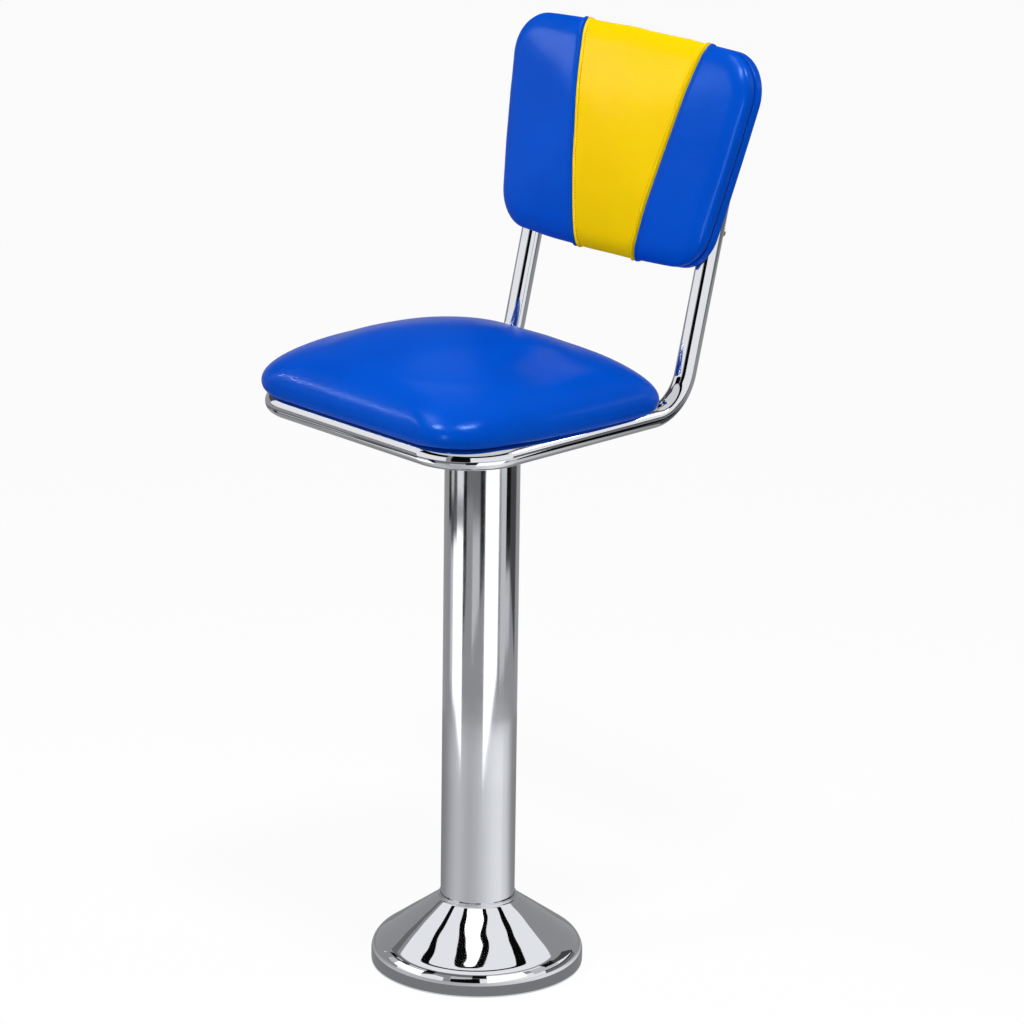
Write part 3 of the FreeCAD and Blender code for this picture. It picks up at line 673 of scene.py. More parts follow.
def spun_cover_mesh():
    """Both skins of the cover; the waves fade out at the rim, the shoulder and the neck."""
    around = 240
    rings = []
    for radius, height in cover_skin(0) + cover_skin(cover_sheet)[::-1]:
        ring = []
        free = min(max((height - cover_rim_height) / 12, 0), 1) * min((cover_radius - radius) / 12, 1)
        free *= min(max((cover_neck_height - height) / 8, 0), 1)
        for step in range(around):
            angle = 2 * math.pi * step / around
            x, y = math.cos(angle), math.sin(angle)
            wave = cover_wave * free * soft_noise(x * radius, y * radius, height, cover_wave_size, 5)
            ring.append(((radius + wave) * x * mm, (radius + wave) * y * mm, (height + wave) * mm))
        rings.append(ring)
    rings.append(rings[0])
    obj = rings_to_mesh("spun_cover", rings, False, False)
    shared_points(obj, 0.001 * mm)
    return obj


spun_cover = spun_cover_mesh()
spun_cover.data.materials.append(chrome_spun)
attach(spun_cover, "cover")
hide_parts("base_cover")
print("spun cover", len(spun_cover.data.polygons), "faces")

# %% [markdown]
# The flange under the cover and the housing in the column's top are sand-cast iron, painted dark grey.
# Sand leaves a rough, grainy skin that scatters the light.

# %% Cast iron
def cast_iron():
    material, tree, shader, place = new_material(
        "sand-cast iron, painted", {"Metallic": 0.3, "Roughness": 0.62})
    # Sand leaves grains of about one millimetre
    grain = add_node(tree, "ShaderNodeTexNoise", {"Scale": 1 / (1.4 * mm), "Detail": 3.0},
                     {"Vector": (place, "Object")})
    vary_colour(tree, shader, grain, "Fac", "#2B2D30", "#3A3C40")
    raise_bumps(tree, shader, grain, "Fac", 0.5 * mm, 0.6)
    return material


assign(["floor_flange", "bearing_housing"], cast_iron())


# %% [markdown]
# The bushings are bronze, the bearing and the spindle are steel in several finishes, and the bolts
# are zinc plated. Each metal has its own tone, gloss and grain.

# %% Bronze, steels and zinc
def plain_metal(name, dark, light, metallic, rough, grain_size, depth):
    material, tree, shader, place = new_material(name, {"Metallic": metallic, "Roughness": rough})
    cloud = vary_roughness(tree, shader, place, 1 / grain_size, rough - 0.06, rough + 0.08)
    vary_colour(tree, shader, cloud, "Fac", dark, light)
    raise_bumps(tree, shader, cloud, "Fac", depth)
    return material


def zinc_plate():
    """Zinc spangle: crystals a few millimetres across, each a little lighter or darker."""
    material, tree, shader, place = new_material("bright zinc plate", {"Metallic": 0.9, "Roughness": 0.4})
    crystals = add_node(tree, "ShaderNodeTexVoronoi", {"Scale": 1 / (3.5 * mm)},
                        {"Vector": (place, "Object")})
    vary_colour(tree, shader, crystals, "Distance", "#9EA2A8", "#B7BABF", 0.0, 0.9)
    raise_bumps(tree, shader, crystals, "Distance", 0.03 * mm)
    return material


bronze = plain_metal("sintered bronze", "#8A6236", "#A3783F", 1.0, 0.4, 1.2 * mm, 0.05 * mm)
ground_steel = plain_metal("ground bearing steel", "#A9ABAD", "#BEC0C2", 1.0, 0.22, 4 * mm, 0.01 * mm)
turned_steel = plain_metal("turned mild steel", "#7F8184", "#96989B", 1.0, 0.35, 2 * mm, 0.02 * mm)
cage_steel = plain_metal("pressed cage steel", "#8E8F90", "#A2A3A5", 1.0, 0.3, 3 * mm, 0.02 * mm)
mill_steel = plain_metal("painted flat bar", "#1F2124", "#2A2C30", 0.2, 0.42, 2.5 * mm, 0.05 * mm)
zinc = zinc_plate()
assign(["upper_bushing", "lower_bushing"], bronze)
assign(["lower_race", "upper_race", "bearing_balls"], ground_steel)
assign(["ball_cage"], cage_steel)
assign(["spindle", "castle_nut", "retaining_washer"], turned_steel)
assign(["front_strap", "rear_strap", "swivel_plate"], mill_steel)
assign(["plate_bolts", "plate_nuts", "cotter_pin", "seat_screws", "back_tee_nuts"], zinc)
print("materials so far", len(bpy.data.materials))


# %% [markdown]
# The tube ends are closed by black plastic plugs, and the boards are birch plywood.

# %% Plastic and plywood
def moulded_plastic():
    material, tree, shader, place = new_material(
        "moulded black polyethylene", {"Base Color": linear("#141517"), "Roughness": 0.45})
    cloud = vary_roughness(tree, shader, place, 1 / (1.5 * mm), 0.38, 0.55)
    raise_bumps(tree, shader, cloud, "Fac", 0.04 * mm)
    return material


def plywood():
    """Birch face veneer: grain lines a millimetre or two apart along X, broken by slow waves."""
    material, tree, shader, place = new_material("birch plywood", {"Roughness": 0.6})
    stretch = add_node(tree, "ShaderNodeMapping", {"Scale": (8, 160, 60)}, {"Vector": (place, "Object")})
    grain = add_node(tree, "ShaderNodeTexNoise", {"Scale": 3.0, "Detail": 6.0, "Distortion": 0.4},
                     {"Vector": (stretch, "Vector")})
    vary_colour(tree, shader, grain, "Fac", "#B98D5E", "#D9B588")
    raise_bumps(tree, shader, grain, "Fac", 0.1 * mm)
    return material


assign(["upright_plugs"], moulded_plastic())
assign(["seat_board", "back_board", "rear_panel_board"], plywood())

# %% [markdown]
# The covers are expanded vinyl: a soft PVC skin with a shallow embossed leather grain. In the photo
# it mirrors almost nothing but the lamps, so its specular level is set far below that of PVC, and
# the shine lamps make up for it. The real grain is under a millimetre and would be lost in the
# picture, so its cells are drawn about two millimetres wide and kept shallow.

# %% Vinyl
grain_cell = 2.2 * mm
grain_depth = 0.10 * mm
vinyl_specular = 0.04


def vinyl(name, dark, light, shine, rough):
    material, tree, shader, place = new_material(
        name, {"Roughness": rough, "Specular IOR Level": vinyl_specular, "Specular Tint": linear(shine)})
    cells = add_node(tree, "ShaderNodeTexVoronoi", {"Scale": 1 / grain_cell, "feature": "SMOOTH_F1"},
                     {"Vector": (place, "Object")})
    creases = add_node(tree, "ShaderNodeTexNoise", {"Scale": 1 / (5 * grain_cell), "Detail": 5.0},
                       {"Vector": (place, "Object")})
    relief = add_node(tree, "ShaderNodeMath", {"operation": "ADD"},
                      {0: (cells, "Distance"), 1: (creases, "Fac")})
    raise_bumps(tree, shader, relief, "Value", grain_depth)
    wear = add_node(tree, "ShaderNodeTexNoise", {"Scale": 9, "Detail": 3.0}, {"Vector": (place, "Object")})
    vary_colour(tree, shader, wear, "Fac", dark, light)
    return material


blue_vinyl = vinyl("blue vinyl", "#004CC4", "#0052CE", "#8CBCFF", 0.22)
yellow_vinyl = vinyl("yellow vinyl", "#FFD000", "#FFD600", "#FFE890", 0.26)

# %% [markdown]
# Both cushions have the same kind of outline: four slightly bowed sides joined by rounded corners.
# Points of the outline are complex numbers here, which makes turning and measuring short to write.
# Each side is part of a large circle, and each corner is a small circle that touches two sides.

# %% Outline of a cushion
corner_steps = 18
side_steps = 30


def bowed_side(start, end, bow):
    chord = end - start
    radius = (abs(chord) ** 2 / 4 + bow ** 2) / (2 * bow)
    return (start + end) / 2 + 1j * chord / abs(chord) * (radius - bow), radius


def corner_centre(first, second, radius, corner):
    (c1, r1), (c2, r2) = first, second
    reach1, reach2 = r1 - radius, r2 - radius
    distance = abs(c2 - c1)
    unit = (c2 - c1) / distance
    along = (distance ** 2 + reach1 ** 2 - reach2 ** 2) / (2 * distance)
    height = math.sqrt(max(reach1 ** 2 - along ** 2, 0.0))
    either = [c1 + unit * (along + 1j * height), c1 + unit * (along - 1j * height)]
    return min(either, key=lambda centre: abs(centre - corner))


def arc_points(centre, start, end, count):
    """Points of an arc and the unit outward directions there, without the last point."""
    first = start - centre
    turn = np.angle((end - centre) / first)
    ways = first * np.exp(1j * turn * np.arange(count) / count)
    return centre + ways, ways / abs(first)


def outline_points(corners, bows, radii):
    """Outline, counted from the start of its first corner, and its outward directions."""
    sides = [bowed_side(corners[i], corners[(i + 1) % 4], bows[i]) for i in range(4)]
    starts, ends, centres = [0] * 4, [0] * 4, [0] * 4
    for i in range(4):
        before, after = sides[i - 1], sides[i]
        centres[i] = corner_centre(before, after, radii[i], corners[i])
        reach = centres[i] - before[0]
        ends[i - 1] = before[0] + reach / abs(reach) * before[1]
        reach = centres[i] - after[0]
        starts[i] = after[0] + reach / abs(reach) * after[1]
    points, ways = [], []
    for i in range(4):
        for centre, start, end, count in ((centres[i], ends[i - 1], starts[i], corner_steps),
                                          (sides[i][0], starts[i], ends[i], side_steps)):
            arc, out = arc_points(centre, start, end, count)
            points.append(arc)
            ways.append(out)
    return np.concatenate(points), np.concatenate(ways)


# %% [markdown]
# The seat cushion is one piece of vinyl pulled over crowned foam, with no welt, and stapled under
# the board. A cloth simulation could blow it up, but this one is pulled tight and smooth, so it is
# built as rings: each ring is the outline drawn in by some distance, at the height the foam has
# there. The rings run from the stapled edge out round the side and up to the crown.

# %% Seat cushion
seat_low_y, seat_high_y = -206.0, 126.3
seat_front_half, seat_rear_half = 190.4, 187.1
seat_corner_radii = (66.0, 66.0, 47.0, 47.0)
seat_bows = (1.2, 13.4, 1.2, 13.4)
seat_growth = 1.4
seat_bottom = 700.6
seat_widest = 11.7
seat_under_roll = 5.5
seat_edge_rise, seat_edge_radius = 25.6, 41.0
seat_edge_fullness = 2.4
seat_crown = 50.9
seat_half_depth = (seat_high_y - seat_low_y) / 2
least_bow = 0.05
lump_height = 0.5
seat_lump_size, pad_lump_size = 55, 45


def seat_ring(inset):
    half_depth = seat_half_depth - inset
    shrink = half_depth / seat_half_depth
    side_inset = inset * seat_front_half / seat_half_depth
    front, rear = seat_front_half - side_inset, seat_rear_half - side_inset
    low, high = seat_low_y + inset, seat_high_y - inset
    corners = [complex(-front, low), complex(front, low), complex(rear, high), complex(-rear, high)]
    limit = 0.92 * min(half_depth, front, rear)
    radii = [min(radius + seat_growth * inset, limit) for radius in seat_corner_radii]
    return outline_points(corners, [max(bow * shrink, least_bow) for bow in seat_bows], radii)


def seat_height(inset):
    turn = min(inset / seat_edge_radius, 1.0)
    edge = seat_edge_rise * (1 - (1 - turn) ** seat_edge_fullness) ** (1 / seat_edge_fullness)
    return seat_widest + edge + seat_crown * (1 - (1 - inset / seat_half_depth) ** 2)


def seat_profile():
    """Pairs of inset and height above the board, from the middle of the underside to the crown."""
    under = [(150, 0.0), (80, 0.0), (40, 0.0), (30, 0.0), (22, 0.0), (14, 0.0), (9, 0.1)]
    roll = []
    for step in range(9):
        angle = math.pi / 2 * step / 8
        roll.append((seat_under_roll * (1 - math.sin(angle)), seat_widest * (1 - math.cos(angle))))
    edge = []
    for step in range(1, 19):
        angle = math.pi / 2 * step / 18
        inset = seat_edge_radius * (1 - math.cos(angle))
        edge.append((inset, seat_height(inset)))
    top = []
    for step in range(1, 22):
        inset = seat_edge_radius + (seat_half_depth - 1.5 - seat_edge_radius) * step / 21
        top.append((inset, seat_height(inset)))
    return under + roll + edge + top


def seat_cushion_mesh():
    rings = []
    for inset, height in seat_profile():
        points, ways = seat_ring(inset)
        ring = []
        for point, way in zip(points, ways):
            lumps = lump_height * soft_noise(point.real, point.imag, height, seat_lump_size, 3)
            lift = lumps * min(height / seat_widest, 1.0)
            ring.append((point.real * mm, point.imag * mm, (seat_bottom + height + lift) * mm))
        rings.append(ring)
    return rings_to_mesh("seat_cushion", rings)


seat_cushion = seat_cushion_mesh()
seat_cushion.data.materials.append(blue_vinyl)
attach(seat_cushion, "seat")
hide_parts("seat_cover", "seat_foam")
print("seat cushion", len(seat_cushion.data.polygons), "faces")

# %% [markdown]
# The back is upholstered flat and bolted on, so it is easiest to build in its own plane: u to the
# right, v up along the tubes, and w forward, towards the sitter. One function turns a point of that
# plane into a place on the stool.

# %% The plane of the back
def from_back_plane(u, v, w):
    y = rear_bend_y + v * math.sin(lean) - w * math.cos(lean)
    z = frame_height + v * math.cos(lean) + w * math.sin(lean)
    return u * mm, y * mm, z * mm


back_bottom, back_height = 164.2, 254.3
back_low_half, back_high_half = 173.1, 214.3
back_corner = 52.0
back_side_bow, back_end_bow = 2.0, 4.9
back_centre = back_bottom + back_height / 2


def back_ring(inset):
    """Outline of the back drawn in evenly; its corners get tighter by as much."""
    low, high = back_bottom + inset, back_bottom + back_height - inset
    slope = (back_high_half - back_low_half) / back_height
    lean_share = inset * math.sqrt(1 + slope ** 2)
    low_half = back_low_half + slope * inset - lean_share
    high_half = back_high_half - slope * inset - lean_share
    corners = [complex(-low_half, low), complex(low_half, low),
               complex(high_half, high), complex(-high_half, high)]
    bows = [back_end_bow, back_side_bow, back_end_bow, back_side_bow]
    return outline_points(corners, bows, [back_corner - inset] * 4)


# %% [markdown]
# The pad's cover is sewn from three panels: two blue wings and a yellow insert that widens upwards.
# Sculpting the seams would be quick but uneven, so each panel is a patch of rows and columns with
# columns that follow the seam, and a band that carries its free edge round the side of the pad. The
# relief is a function of the distance from the seam: a sharp valley, a raised allowance and a line
# of stitching.

# %% Shape of the back pad
pad_back = 24.4
pad_under_roll = 4.0
pad_widest, pad_edge_rise, pad_edge = 9.7, 8.0, 22.0
pad_crown, crown_squareness = 9.0, 6
insert_low_half, insert_high_half = 52.0, 106.0
insert_shift = 19.0
seam_slope = (insert_high_half - insert_low_half) / back_height
valley_depth, valley_width = 3.4, 1.5
welt_height, welt_reach, welt_width = 1.0, 3.4, 2.4
stitch_distance, stitch_groove, stitch_width = 6.3, 0.7, 0.9
seam_bulge = 1.2
seam_hold = 45.0


def seam_u(side, v):
    """Where a seam crosses the height v; side is -1 on the left and 1 on the right."""
    return insert_shift + side * (insert_low_half + seam_slope * (v - back_bottom))


def crown_at(u, v):
    half = back_low_half + (back_high_half - back_low_half) * (v - back_bottom) / back_height
    across = min(abs(u) / half, 1.0)
    upward = min(abs(v - back_centre) / (back_height / 2), 1.0)
    share = min((across ** crown_squareness + upward ** crown_squareness) ** (1 / crown_squareness), 1.0)
    return pad_crown * (1 - share ** 2)


def seam_relief(distance):
    """Height of the cover beside a seam, without its stitch holes."""
    valley = -valley_depth * math.exp(-(distance / valley_width) ** 2)
    welt = welt_height * math.exp(-((distance - welt_reach) / welt_width) ** 2)
    groove = -stitch_groove * math.exp(-((distance - stitch_distance) / stitch_width) ** 2)
    return valley + welt + groove


def relief_at(u, v):
    square = 1 / math.sqrt(1 + seam_slope ** 2)
    nearest = min(abs(u - seam_u(-1, v)), abs(u - seam_u(1, v))) * square
    return seam_relief(nearest) + lump_height * soft_noise(u, v, 0, pad_lump_size, 11)


def pad_profile():
    """Steps from the front face outwards round the edge and under: inset, height and facing."""
    steps = []
    for step in range(1, 13):
        angle = math.pi / 2 * step / 12
        inset = pad_edge * (1 - math.sin(angle))
        height = pad_widest + pad_edge_rise * math.cos(angle)
        steps.append((inset, height, math.sin(angle), math.cos(angle)))
    for step in range(1, 7):
        angle = math.pi / 2 * step / 6
        inset = pad_under_roll * (1 - math.cos(angle))
        height = pad_widest * (1 - math.sin(angle))
        steps.append((inset, height, math.cos(angle), 0.0))
    return steps


round_steps = 12
near_seam = [0.0, 0.35, 0.75, 1.2, 1.7, 2.4, 3.2, 4.1, 5.0, 5.7, 6.3, 6.9, 7.6, 9.0, 11.5, 15.0]
stitch_column = near_seam.index(stitch_distance)
rows = 64


# %% [markdown]
# The front face ends where the pad starts to round off. Its limit has four free sides, and each of
# them can be asked for the points at given lengths along it, or for the place where a seam meets it.

# %% Free sides of the front face
back_limit = back_ring(pad_edge)


def free_side(number):
    """One free side of the front face, from mid-corner to mid-corner, with its outward directions."""
    block, half = corner_steps + side_steps, corner_steps // 2
    first = number * block + half
    picked = [i % (4 * block) for i in range(first, first + block + 1)]
    points, ways = (values[picked] for values in back_limit)
    if number > 1:
        points, ways = points[::-1], ways[::-1]
    return points, ways


bottom_run, right_run, top_run, left_run = (free_side(number) for number in range(4))


def along(run, places):
    """Points and ways at given lengths along a run."""
    points, ways = run
    lengths = np.concatenate([[0.0], np.cumsum(np.abs(np.diff(points)))])
    x = np.interp(places, lengths, points.real) + 1j * np.interp(places, lengths, points.imag)
    w = np.interp(places, lengths, ways.real) + 1j * np.interp(places, lengths, ways.imag)
    return x, w / np.abs(w)


def run_length(run):
    return float(np.sum(np.abs(np.diff(run[0]))))


def crossing(run, side, offset):
    """Length along a bottom or top run where the line beside a seam crosses it."""
    points = run[0]
    lengths = np.concatenate([[0.0], np.cumsum(np.abs(np.diff(points)))])
    beside = points.real - np.array([seam_u(side, v) for v in points.imag])
    return float(np.interp(offset, beside, lengths))


# %% [markdown]
# A wing is a four-sided patch between its seam and the three free sides. Its inner points come from
# blending the four borders, which is called a Coons patch. The insert is simpler: straight columns
# from the bottom edge to the top edge.

# %% Patches of the panels
def insert_columns():
    """Bottom and top points of each column of the insert, with their directions outwards."""
    offsets = [(-1, d) for d in near_seam]
    offsets += [(None, share) for share in np.linspace(0, 1, 26)[1:-1]]
    offsets += [(1, -d) for d in reversed(near_seam)]
    columns = []
    for run in (bottom_run, top_run):
        first = crossing(run, -1, near_seam[-1])
        last = crossing(run, 1, -near_seam[-1])
        places = []
        for side, value in offsets:
            if side is None:
                places.append(first + (last - first) * value)
            else:
                places.append(crossing(run, side, value))
        columns.append(along(run, places))
    return columns


def grid_insert():
    (bottom, bottom_ways), (top, top_ways) = insert_columns()
    shares = np.linspace(0, 1, rows + 1)[:, None]
    grid = bottom[None, :] * (1 - shares) + top[None, :] * shares
    return grid, {"bottom": bottom_ways, "top": top_ways}


def grid_wing(side):
    """The patch of a wing. Columns run from the seam to the outer side."""
    outer_run = right_run if side > 0 else left_run
    spread = 34
    borders = []
    for run in (bottom_run, top_run):
        places = [crossing(run, side, side * d) for d in near_seam]
        end = run_length(run) if side > 0 else 0.0
        places += list(np.linspace(places[-1], end, spread)[1:])
        borders.append(along(run, places))
    (bottom, bottom_ways), (top, top_ways) = borders
    outer, outer_ways = along(outer_run, np.linspace(0, run_length(outer_run), rows + 1))
    first = len(near_seam) - 1
    shares = np.linspace(0, 1, rows + 1)[:, None]
    grid = bottom[None, :] * (1 - shares) + top[None, :] * shares
    inner = grid[:, first]
    lengths = np.abs(bottom[first:] - bottom[first])
    a = (lengths / lengths[-1])[None, :]
    ruled = bottom[None, first:] * (1 - shares) + top[None, first:] * shares
    across = inner[:, None] * (1 - a) + outer[:, None] * a
    low_line = bottom[first] * (1 - a) + bottom[-1] * a
    high_line = top[first] * (1 - a) + top[-1] * a
    grid[:, first:] = ruled + across - (low_line * (1 - shares) + high_line * shares)
    return grid, {"bottom": bottom_ways, "top": top_ways, "outer": outer_ways}


# %% [markdown]
# Beyond the patch the vinyl turns round the side of the pad and under it. A seam runs straight on
# over the edge, so the band's direction is turned to follow the seam where it is near.

# %% Bands round the edge
def seam_turned(point, way):
    """Outward direction at an edge, turned to follow the seam where it is near, and stretched so that
    it still reaches as far outwards."""
    up = 1 if way.imag > 0 else -1
    nearest = min((-1, 1), key=lambda side: abs(point.real - seam_u(side, point.imag)))
    line = complex(nearest * seam_slope * up, up)
    line /= abs(line)
    distance = abs(point.real - seam_u(nearest, point.imag))
    share = max(0.0, 1 - distance / seam_hold)
    share = share * share * (3 - 2 * share)
    turned = way * (1 - share) + line * share
    turned /= abs(turned)
    return turned / (turned.real * way.real + turned.imag * way.imag)


def front_point(point):
    """A point of the outline raised to the front face, as (u, v, w)."""
    u, v = point.real, point.imag
    return u, v, pad_back + pad_widest + pad_edge_rise + crown_at(u, v) + relief_at(u, v)


def foot_point(point):
    return point.real, point.imag, pad_back


def band_points(border, ways):
    """Rings of the band that carries a border round the pad's side and under it."""
    layers = []
    for inset, height, outward, forward in pad_profile():
        layer = []
        for point, way in zip(border, ways):
            moved = point + seam_turned(point, way) * (pad_edge - inset)
            relief = relief_at(moved.real, moved.imag)
            relief += max(relief, 0.0) * seam_bulge * outward
            crown = crown_at(moved.real, moved.imag) * forward
            spot = moved + way * relief * outward
            layer.append((spot.real, spot.imag, pad_back + height + crown + relief * forward))
        layers.append(layer)
    return layers


# %% [markdown]
# A panel is closed: its patch, its band, a flat back on the board and a wall inside each seam. The
# builder shares points that lie together, so the parts join without gaps.

# %% One closed panel
class MeshBuilder:
    """Collects points and faces, and shares points that lie in the same place."""

    def __init__(self):
        self.places = {}
        self.corners = []
        self.faces = []

    def corner(self, point):
        key = tuple(round(value, 4) for value in point)
        if key not in self.places:
            self.places[key] = len(self.corners)
            self.corners.append(point)
        return self.places[key]

    def strip(self, first, second):
        for i in range(len(first) - 1):
            face = [self.corner(p) for p in (first[i], first[i + 1], second[i + 1], second[i])]
            kept = [c for n, c in enumerate(face) if c != face[n - 1]]
            if len(kept) > 2:
                self.faces.append(tuple(kept))

    def patch(self, lines):
        for first, second in zip(lines, lines[1:]):
            self.strip(first, second)

    def finish(self, name):
        return finish_mesh(name, [from_back_plane(*p) for p in self.corners], self.faces)


def build_panel(name, grid, edge_ways, side):
    """Front patch, band, flat back and the wall inside each seam, as one closed form."""
    front = [[front_point(p) for p in row] for row in grid]
    border, ways = list(grid[0, :]), list(edge_ways["bottom"])
    if side:
        border += list(grid[1:-1, -1]) + list(grid[-1, ::-1])
        ways += list(edge_ways["outer"][1:-1]) + list(edge_ways["top"][::-1])
        stretches = [(border, ways)]
    else:
        stretches = [(border, ways), (list(grid[-1, ::-1]), list(edge_ways["top"][::-1]))]
    builder = MeshBuilder()
    builder.patch(front)
    builder.patch([[foot_point(p) for p in row] for row in grid])
    seam_lines, bands = [], []
    for edge, out in stretches:
        layers = band_points(edge, out)
        foot_layer = [foot_point(p) for p in edge]
        builder.patch([[front_point(p) for p in edge]] + layers + [foot_layer])
        seam_lines.append([layer[0] for layer in [foot_layer] + layers[::-1]])
        seam_lines.append([layer[-1] for layer in [foot_layer] + layers[::-1]])
        bands.append(layers)
    close_seams(builder, front, grid, seam_lines, side)
    paths = [sewn_path(front, bands, column) for column in ((0, -1) if side == 0 else (0,))]
    return builder.finish(name), paths


def sewn_path(front, bands, end):
    """Two lines on the panel beside a seam: in the seam itself, and where the topstitching runs."""
    step = 1 if end == 0 else -1
    found = []
    for number in (0, stitch_column):
        column = end + step * number
        low, high = bands[0], bands[-1]
        line = [low[k][column] for k in reversed(range(round_steps))]
        line += [row[column] for row in front]
        line += [high[k][-1 - column] for k in range(round_steps)]
        found.append([Vector(from_back_plane(*p)) for p in line])
    return found


def close_seams(builder, front, grid, seam_lines, side):
    """The wall inside each seam: from the foot up the band, along the front and down again."""
    if side:
        walls = [(seam_lines[0], 0, seam_lines[1])]
    else:
        walls = [(seam_lines[0], 0, seam_lines[3]), (seam_lines[1], -1, seam_lines[2])]
    for low_line, column, high_line in walls:
        loop = low_line + [row[column] for row in front] + high_line[::-1]
        loop += [foot_point(p) for p in grid[::-1, column]]
        corners = [builder.corner(p) for p in loop]
        corners = [c for n, c in enumerate(corners) if c != corners[n - 1]]
        if len(set(corners)) == len(corners):
            builder.faces.append(tuple(corners))
        else:
            print("seam wall left open", len(corners), len(set(corners)))


# %% [markdown]
# The three panels are made from left to right. Each keeps its name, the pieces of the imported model
# that it stands for, and the lines that its stitching will follow.

# %% The three panels
back_pieces, sewn_paths = [], []
for name, maker, side, material, node_name, slot_name in (
        ("back_wing_left", grid_wing, -1, blue_vinyl, "back_cover_left", "blue_vinyl"),
        ("back_insert", grid_insert, 0, yellow_vinyl, "back_cover_insert", "yellow_vinyl"),
        ("back_wing_right", grid_wing, 1, blue_vinyl, "back_cover_right", "blue_vinyl")):
    grid, edge_ways = maker(side) if side else maker()
    piece, paths = build_panel(name, grid, edge_ways, side)
    sewn_paths += paths
    piece.data.materials.append(material)
    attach(piece, "seat")
    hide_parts(node_name)
    back_pieces.append(piece)
    print(name, len(piece.data.polygons), "faces")
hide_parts("back_foam")

# %% [markdown]
# The panels are joined by a seam, and a row of topstitching runs on each side of it, three and a half
# millimetres to the stitch. At the bottom of each valley lies a dark navy cord: painted shade standing
# for the shadow in the seam, thicker than a real thread so that it shows in the render.

# %% Stitching
stitch_pitch, stitch_length = 3.5, 2.6
thread_radius, seam_shade_cord_radius = 0.42, 0.8


def thread_material(name, dark, light):
    """Bonded polyester thread: a twist a millimetre long, with a dull shine."""
    material, tree, shader, place = new_material(name, {"Roughness": 0.55})
    twist = add_node(tree, "ShaderNodeTexNoise", {"Scale": 1 / (1.0 * mm)}, {"Vector": (place, "Object")})
    vary_colour(tree, shader, twist, "Fac", dark, light)
    return material


def line_lengths(line):
    lengths = [0.0]
    for start, end in zip(line, line[1:]):
        lengths.append(lengths[-1] + (end - start).length)
    return lengths


def on_line(line, lengths, place):
    """Point and direction at a length along a line."""
    index = int(np.clip(np.searchsorted(lengths, place) - 1, 0, len(line) - 2))
    share = (place - lengths[index]) / max(lengths[index + 1] - lengths[index], 1e-9)
    return line[index].lerp(line[index + 1], share), (line[index + 1] - line[index]).normalized()


def stitches(name, line, material):
    """Short beads of thread along a line, each tapered where it dives into the vinyl."""
    lengths = line_lengths(line)
    shape = [(-0.5, 0.15), (-0.36, 0.8), (0.0, 1.0), (0.36, 0.8), (0.5, 0.15)]
    corners, faces = [], []
    sides = 6
    for number in range(int(lengths[-1] / (stitch_pitch * mm))):
        middle, ahead = on_line(line, lengths, (number + 0.5) * stitch_pitch * mm)
        across = ahead.cross(Vector((0, -math.cos(lean), math.sin(lean)))).normalized()
        up = across.cross(ahead)
        first = len(corners)
        for place, width in shape:
            centre = middle + ahead * (place * stitch_length * mm)
            for side in range(sides):
                angle = 2 * math.pi * side / sides
                reach = thread_radius * width * mm
                corners.append(centre + across * (reach * math.cos(angle)) + up * (reach * math.sin(angle)))
        for ring in range(len(shape) - 1):
            for side in range(sides):
                low, after = first + ring * sides + side, first + ring * sides + (side + 1) % sides
                faces.append((low, after, after + sides, low + sides))
        faces.append(tuple(first + side for side in range(sides)))
        faces.append(tuple(first + (len(shape) - 1) * sides + side for side in range(sides)))
    return dress(finish_mesh(name, corners, faces), material)


def dress(obj, material):
    obj.data.materials.append(material)
    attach(obj, "seat")
    return obj


# The navy thread colour also paints the shade in the seams below.
navy_thread_and_seam_shade = thread_material("navy thread and painted seam shade", "#020A34", "#04124A")
gold_thread = thread_material("gold bonded thread", "#A87800", "#C08C00")
stitch_rows = [("left_topstitch", navy_thread_and_seam_shade, "blue_vinyl"),
               ("insert_left_topstitch", gold_thread, "yellow_vinyl"),
               ("insert_right_topstitch", gold_thread, "yellow_vinyl"),
               ("right_topstitch", navy_thread_and_seam_shade, "blue_vinyl")]
for (name, material, slot_name), (seam, topstitch) in zip(stitch_rows, sewn_paths):
    stitches(name, topstitch, material)
# Painted shade: a thick dark navy cord along the bottom of each seam valley, where the shadow falls.
for name, number in (("left_seam_painted_shade", 1), ("right_seam_painted_shade", 2)):
    line = [point / mm for point in sewn_paths[number][0]]
    dress(tube_mesh(name, line, seam_shade_cord_radius, 10), navy_thread_and_seam_shade)
print("stitch rows", len(stitch_rows))

# %% [markdown]
# The rear panel is a board wrapped in the same blue vinyl, pulled flat with no padding. Its front
# edge shows as a bright lip beside the pad's shadow, and its back edge is rounded where the vinyl
# turns over the board. It is made from rings of the back's outline, as the cushion is.

# %% Rear panel
panel_back_w, panel_front_w = 12.9, 24.25
panel_inset = 1.0
panel_round, lip_round = 3.6, 1.8
least_corner = 12.0


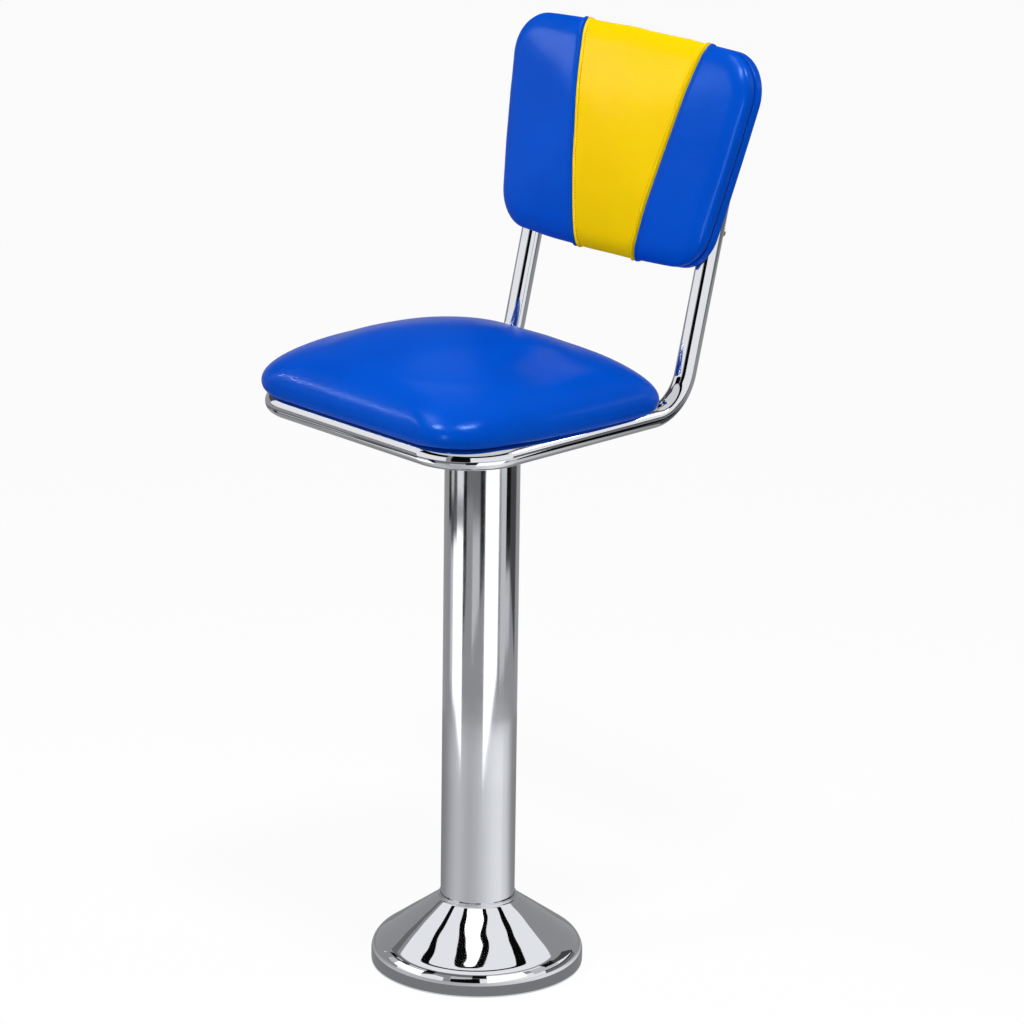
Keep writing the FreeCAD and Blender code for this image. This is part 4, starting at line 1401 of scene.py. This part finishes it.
def rear_panel_mesh():
    steps = [(60, 0.0), (30, 0.0), (14, 0.0)]
    for step in range(7):
        angle = math.pi / 2 * step / 6
        steps.append((panel_round * (1 - math.sin(angle)), panel_round * (1 - math.cos(angle))))
    thickness = panel_front_w - panel_back_w
    for step in range(6):
        angle = math.pi / 2 * step / 5
        height = thickness - lip_round * (1 - math.sin(angle))
        steps.append((lip_round * (1 - math.cos(angle)), height))
    steps += [(10, thickness), (40, thickness)]
    rings = []
    for inset, height in steps:
        deep = min(inset, back_corner - least_corner)
        points, ways = back_ring(panel_inset + deep)
        rings.append([from_back_plane(p.real, p.imag, panel_back_w + height) for p in points])
    return rings_to_mesh("rear_panel", rings)


rear_panel = rear_panel_mesh()
rear_panel.data.materials.append(blue_vinyl)
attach(rear_panel, "seat")
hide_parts("rear_panel_cover")
print("rear panel", len(rear_panel.data.polygons), "faces")

# %% [markdown]
# The underside of the seat is closed by a black dust cloth, stapled flat over the edge of the vinyl.
# It is stretched, so it needs no simulation: rings of the seat's outline make one flat sheet.

# %% Dust cloth
cloth_inset = 21.0
cloth_gap = 0.15


def dust_cloth_mesh():
    rings = []
    for inset in (cloth_inset, 40, 70, 100, 130, 160):
        points, ways = seat_ring(inset)
        rings.append([(p.real * mm, p.imag * mm, (seat_bottom - cloth_gap) * mm) for p in points])
    return rings_to_mesh("dust_cloth", rings, close_low=False)


def woven_cloth():
    """Black polypropylene cloth, dull, with ribs two millimetres apart so that they show."""
    material, tree, shader, place = new_material(
        "black dust cloth", {"Base Color": linear("#17181A"), "Roughness": 0.9})
    weave = add_node(tree, "ShaderNodeTexWave", {"Scale": 1 / (2 * mm * math.pi), "bands_direction": "X"},
                     {"Vector": (place, "Object")})
    raise_bumps(tree, shader, weave, "Fac", 0.2 * mm)
    return material


dust_cloth = dust_cloth_mesh()
dust_cloth.data.materials.append(woven_cloth())
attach(dust_cloth, "seat")
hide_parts("seat_dust_cloth")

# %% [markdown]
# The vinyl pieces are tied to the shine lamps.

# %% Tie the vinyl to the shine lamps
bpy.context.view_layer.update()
for obj in bpy.context.scene.objects:
    if obj.type == "MESH" and {blue_vinyl, yellow_vinyl} & set(obj.data.materials):
        shiny_pieces.objects.link(obj)
